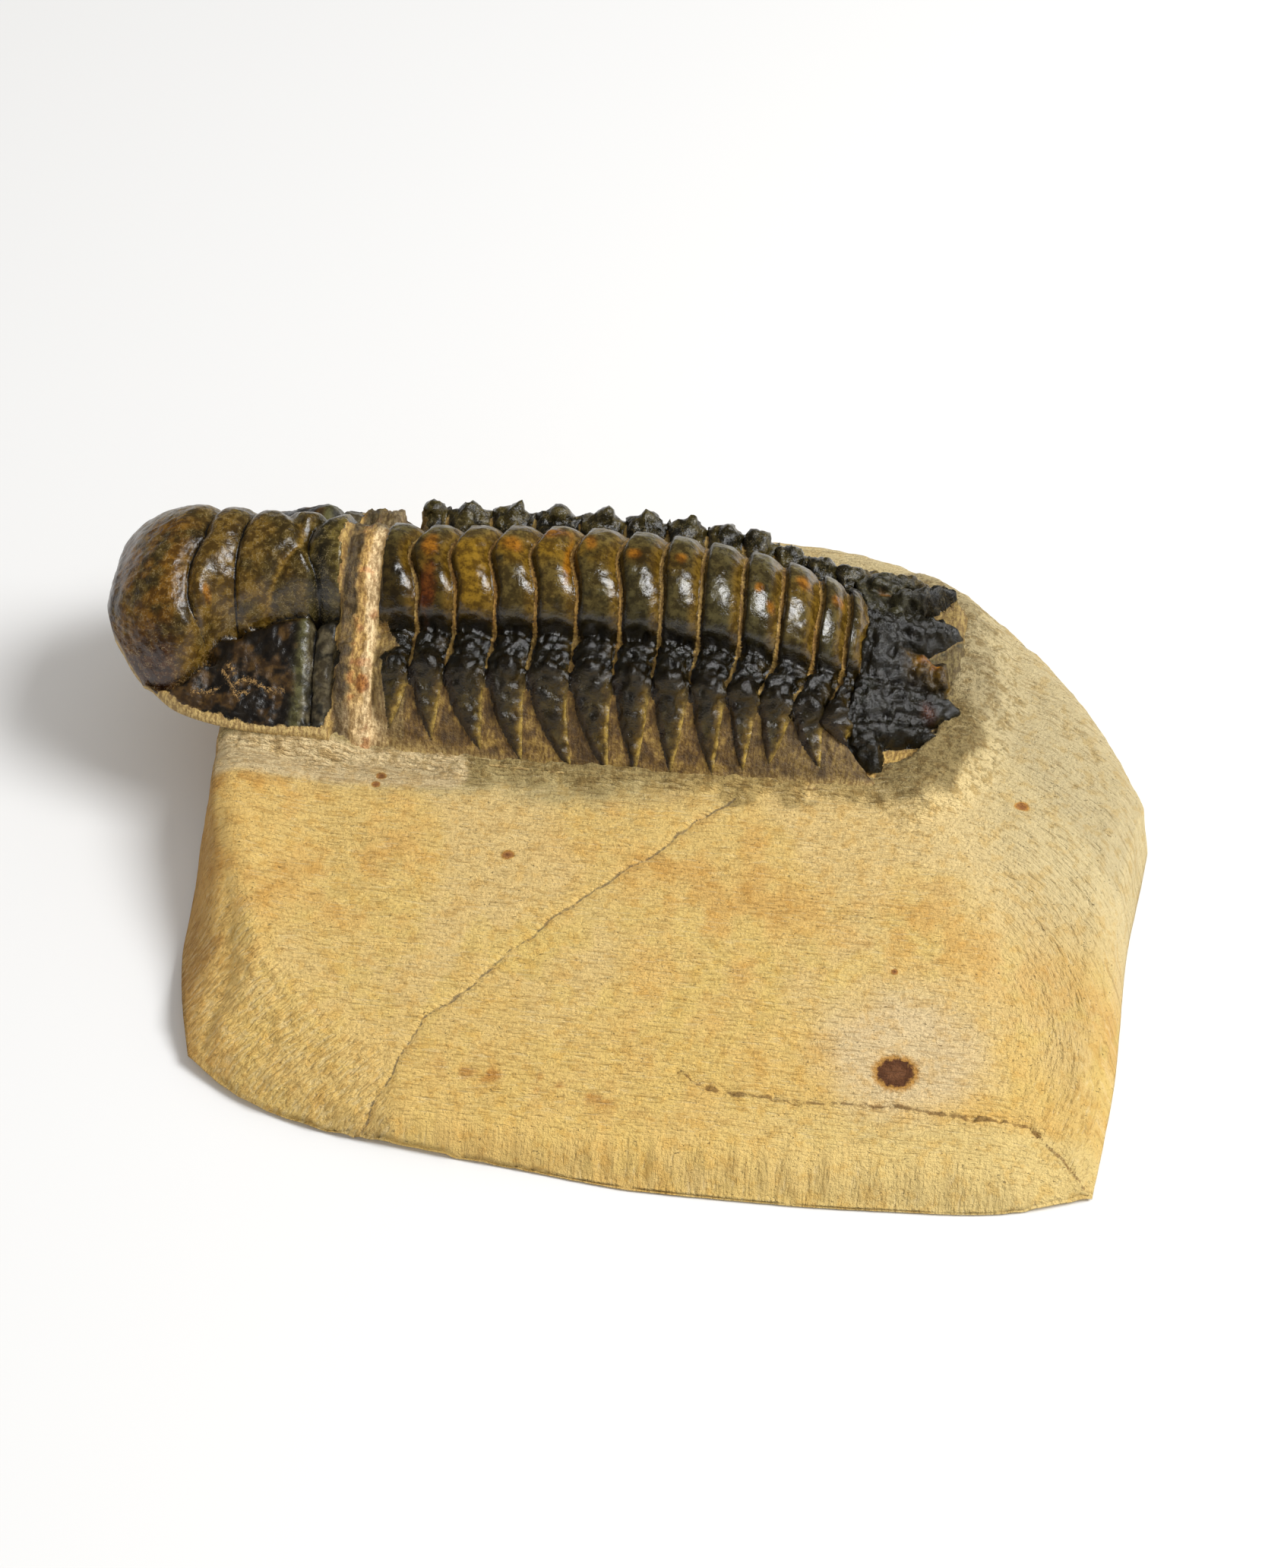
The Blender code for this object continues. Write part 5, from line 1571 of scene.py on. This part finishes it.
every_x, every_y = stone_points[:, :2].T
cloud = 0.5 + 0.5 * rough(stone_points, 9.0, 131)
patchy = 0.5 + 0.5 * rough(stone_points, 2.4, 135)
ochre = smooth_step(0.35, 0.85, patchy) * smooth_step(0.62, 0.3, cloud)
yellow = smooth_step(0.5, 0.25, patchy) * smooth_step(-6.0, -18.0, every_y)
right_end = smooth_step(16.0, 38.0, every_x + 0.5 * every_y) * smooth_step(-16.0, -4.0, every_y)
arc = bell(every_y + 6.5 + 0.15 * every_x + 0.002 * every_x**2, 2.6)
arc = arc * smooth_step(-9.0, 2.0, every_x)
dashes = bell(every_y + 26.9 + 0.10 * every_x, 1.0) * smooth_step(8.0, 0.0, every_x)
dashes = dashes * smooth_step(-13.0, -9.0, every_x)
halo = np.hypot((every_x - 25.0) / 8.0, (every_y + 21.8) / 6.2) + 0.3 * (patchy - 0.5)
lower_right = 0.6 * smooth_step(-26.0, -28.0, every_y) * smooth_step(5.0, 30.0, every_x)
stone_color = washed(np.tile(STONE_TAN, (len(stone_points), 1)), (
    (smooth_step(0.45, 0.8, cloud) * 0.7, paint(244, 212, 148)),
    (ochre * 0.8, paint(222, 178, 102)),
    (yellow * 0.5, paint(244, 212, 122)),
    (right_end, STONE_PALE),
    (0.8 * arc * smooth_step(0.2, 0.7, patchy), paint(220, 176, 100)),
    (0.6 * smooth_step(-14.0, -26.0, every_y), paint(232, 196, 118)),
    (0.8 * dashes * smooth_step(0.5, 0.62, patchy), paint(188, 132, 58)),
    (lower_right, paint(240, 216, 150)),
    (0.85 * (1.0 - smooth_step(0.45, 1.15, halo)), paint(248, 222, 176))))
print("slope washes on", len(stone_points), "points")

# %% [markdown]
# ## The edges' colours
# The left side is chipped, and it is painted darker and browner as painted shade where it faces
# away from the light. Near the fossil the stone is grey and brown from the glue and dust of the
# work. These washes need the distance to the fossil, which only the top has, so a helper gives
# the sides nothing. Another carries the rim's values down the sides.

# %% Washes for the left side and around the fossil
def top_only(values):
    """Values of the top, and nothing on the sides."""
    return np.concatenate([values, np.zeros(len(stone_points) - len(values))])


left_wash = smooth_step(-25.0, -32.0, every_x) * smooth_step(1.0, -3.0, every_y)
on_side = np.arange(len(stone_points)) >= len(stone_top)
beside = top_only(1.0 - smooth_step(0.6, 4.0, away + 0.8 * stone_ragged))
beside = beside * (1.0 - 0.6 * smooth_step(2.0, 12.0, every_x))
tight = 1.0 - smooth_step(0.3, 1.6, away + 1.2 * stone_ragged)
at_tail = 1.0 - smooth_step(0.9, 2.4, away + 0.7 * stone_ragged)
stone_color = washed(stone_color, (
    (left_wash * 0.8, paint(252, 210, 126)),
    (left_wash * smooth_step(0.55, 0.8, patchy) * 0.8, paint(200, 154, 80)),
    # painted shade: the left side, which faces away from the light, is made darker and browner
    (smooth_step(-29.5, -33.0, every_x) * on_side * 0.8, paint(182, 138, 72)),
    (beside * 0.8, paint(206, 182, 126)),
    (0.7 * beside * smooth_step(8.0, 0.0, every_x), paint(176, 162, 118)),
    (top_only(tight * smooth_step(-19.5, -17.5, stone_x)) * 0.7, paint(150, 128, 78)),
    (top_only(at_tail * smooth_step(19.0, 23.0, stone_x)) * 0.7, paint(140, 122, 80)),
    (smooth_step(0.15, 0.5, top_only(band)), paint(230, 206, 160))))
print("edge washes on", len(stone_points), "points")

# %% Balance of the stone's tones, and its worn back edge
STONE_GAIN, BRIGHTEST, ZONE_SHADE = (1.22, 1.20, 1.12), 0.97, 0.20


def carried_down(values):
    """The side points below the rim take the rim's value."""
    return np.concatenate([values, np.tile(values[stone_rim], SIDE_ROWS)])


back_rim = smooth_step(26.5, 29.5, stone_y + 0.28 * np.maximum(stone_x - 8.0, 0)**1.35)
stone_color = stone_color * STONE_GAIN
stone_color = stone_color * np.minimum(1.0, BRIGHTEST / stone_color.max(axis=1, keepdims=True))
zone_shade = 1.0 - ZONE_SHADE * carried_down(np.maximum(swirl, front_facet))
stone_color = stone_color * zone_shade[:, None]
stone_color = wash(stone_color, top_only(back_rim) * 0.6, paint(206, 188, 144))
print("brightest value", stone_color.max().round(2))

# %% Store the stone's colours and distances
store(stone.data, "stone_color", stone_color, STONE_TAN)
for name, values in (("crack", crack), ("pit_line", pit_line), ("bank", on_bank),
                     ("along", 1.05 * (combed + band)), ("around", swirl),
                     ("down", 0.85 * front_facet), ("slant", 1.8 * left_facet),
                     ("swirl_out", from_centre), ("swirl_round", round_centre)):
    store(stone.data, name, carried_down(values), 0.0)
print("stored:", stored(stone.data))

# %% [markdown]
# ## The stone's strokes
# Ground limestone is dull and powdery, and most of its strokes are finer than the mesh. Finer
# geometry could carry them only at many times the size. The shader draws them with stretched
# noise, in the direction that each zone was ground: along, round the swirl, down, or slanting.

# %% Strokes of the limestone
finish, shader, place = new_finish("limestone")
tree = finish.node_tree
medium, small, grit = noise_of(place, 0.9, 5.0), noise_of(place, 3.2), noise_of(place, 10.0, 3.0)
polar = tree.nodes.new("ShaderNodeCombineXYZ")
feed(polar, "X", attribute(tree, "swirl_round"))
feed(polar, "Y", attribute(tree, "swirl_out"))
slanted = tree.nodes.new("ShaderNodeVectorRotate")
slanted.rotation_type = "Z_AXIS"
feed(slanted, "Vector", place)
feed(slanted, "Angle", math.radians(-38.0))
stroke = {
    "along": stretched(place, (0.7, 5.2, 1.0)),
    "around": stretched(polar.outputs[0], (0.9, 3.4, 1.0)),
    "down": stretched(place, (3.0, 0.6, 0.6)),
    "slant": stretched(slanted.outputs[0], (0.9, 3.6, 1.0)),
}
parts = [times(minus(noise_of(pattern, 1.0), 0.5), attribute(tree, name))
         for name, pattern in stroke.items()]
marks = add(add(add(parts[0], parts[1]), parts[2]), parts[3])
print("kinds of stroke:", len(parts))

# %% [markdown]
# ## The stone's grain
# Up close the tan breaks into warmer clouds, dark and light strokes, small flecks, and a mottled
# brown along the bank. Each is a mask from one of the noises, laid thinly, so that none of them
# takes over. A single noise with more contrast would look blotchy instead.

# %% Grain of the limestone
stone_paint = attribute(tree, "stone_color", color=True)
warmer, darker, dark_stroke = (tinted(stone_paint, by) for by in (
    (0.90, 0.78, 0.56), (0.70, 0.64, 0.54), (0.58, 0.48, 0.34)))
stone_mix = lay(mask(medium, 0.50, 0.64, 0.0, 0.6), stone_paint, warmer)
stone_mix = lay(mask(marks, 0.045, 0.15, 0.0, 0.5), stone_mix, dark_stroke)
stone_mix = lay(mask(marks, -0.07, -0.18, 0.0, 0.3), stone_mix, paint(250, 228, 176))
stone_mix = lay(mask(small, 0.56, 0.66, 0.0, 0.28), stone_mix, darker)
speck = mask(noise_of(stretched(place, (1.0, 1.6, 1.0)), 3.4, 3.0), 0.66, 0.73, 0.0, 0.6)
stone_mix = lay(speck, stone_mix, paint(132, 104, 58))
bank_share = attribute(tree, "bank")
mottle = mask(add(times(medium, 0.8), small), 0.84, 1.02, 0.0, 0.6)
for share, factors in ((mottle, (0.45, 0.42, 0.34)),
                       (mask(grit, 0.50, 0.62, 0.0, 0.4), (1.35, 1.35, 1.35))):
    stone_mix = lay(times(bank_share, share), stone_mix, tinted(stone_mix, factors))
print("with grain:", len(tree.nodes), "nodes")

# %% [markdown]
# ## Stains, crack and pits
# Iron left one dark brown spot and a few rusty specks, all round stains with a gold rim. They
# are flat colour on the real stone, so they aren't raised. Each is a distance to a point in the
# stone, and the crack and the pits are the stored distances, frayed by noise.

# %% Stains, crack and pits on the limestone
STAINS = ((24.6, -23.4, 1.22), (33.6, 1.7, 0.42), (-8.1, -7.1, 0.36), (-19.6, -0.6, 0.3),
          (-19.9, -1.5, 0.25), (24.0, -14.9, 0.2))
BIG_STAIN, SMALL_STAIN = ((104, 60, 26), (132, 84, 48)), ((186, 128, 66), (150, 96, 46))
STAIN_SQUASH = 0.8            # the stains are a little longer along the stone than across it

for stain_x, stain_y, radius in STAINS:
    gap = tree.nodes.new("ShaderNodeVectorMath")
    gap.operation = "DISTANCE"
    feed(gap, 0, stretched(place, (STAIN_SQUASH, 1.0, 0.0)))
    feed(gap, 1, (STAIN_SQUASH * (stain_x + PLACE[0]), stain_y + PLACE[1], 0.0))
    ragged_gap = add(gap.outputs["Value"], wobble(small, 0.7 * radius))
    ring_paint, core_paint = BIG_STAIN if radius > 1.0 else SMALL_STAIN
    for full, none, thick, color in ((1.02, 1.42, 0.95, (208, 150, 64)),
                                     (0.85, 1.05, 1.0, ring_paint), (0.25, 0.75, 0.9, core_paint)):
        stain = mask(ragged_gap, full * radius, none * radius, thick, 0.0)
        stone_mix = lay(stain, stone_mix, paint(*color))
to_crack, to_pits = attribute(tree, "crack"), attribute(tree, "pit_line")
for gap, low, high, thick, color in (
        (add(to_crack, wobble(small, 0.25)), 0.03, 0.15, 0.75, (120, 104, 80)),
        (minus(to_pits, wobble(medium, 0.7, 0.45)), 0.02, 0.16, 0.75, (132, 96, 48)),
        (minus(to_pits, wobble(small, 1.6)), -0.3, -0.1, 0.8, (84, 62, 32))):
    stone_mix = lay(mask(gap, low, high, thick, 0.0), stone_mix, paint(*color))
feed(shader, "Base Color", stone_mix)
print("stains:", len(STAINS))

# %% [markdown]
# ## Dullness and fine relief of the stone
# The stone has no gloss at all, only a slightly smoother look where it was rubbed. Strokes, grain
# and specks also stand in relief by a few hundredths of a millimetre. That is too fine for the
# mesh, so it is left to a bump.

# %% Roughness and bump of the limestone
feed(shader, "Roughness", mask(small, 0.3, 0.7, 0.78, 0.95))
stone_relief = add(times(marks, 1.7), times(small, 0.9))
stone_relief = minus(add(stone_relief, times(grit, 0.4)), speck)
bumped(shader, stone_relief, 0.38)
stone.data.materials.append(finish)
print("limestone finish:", len(tree.nodes), "nodes")
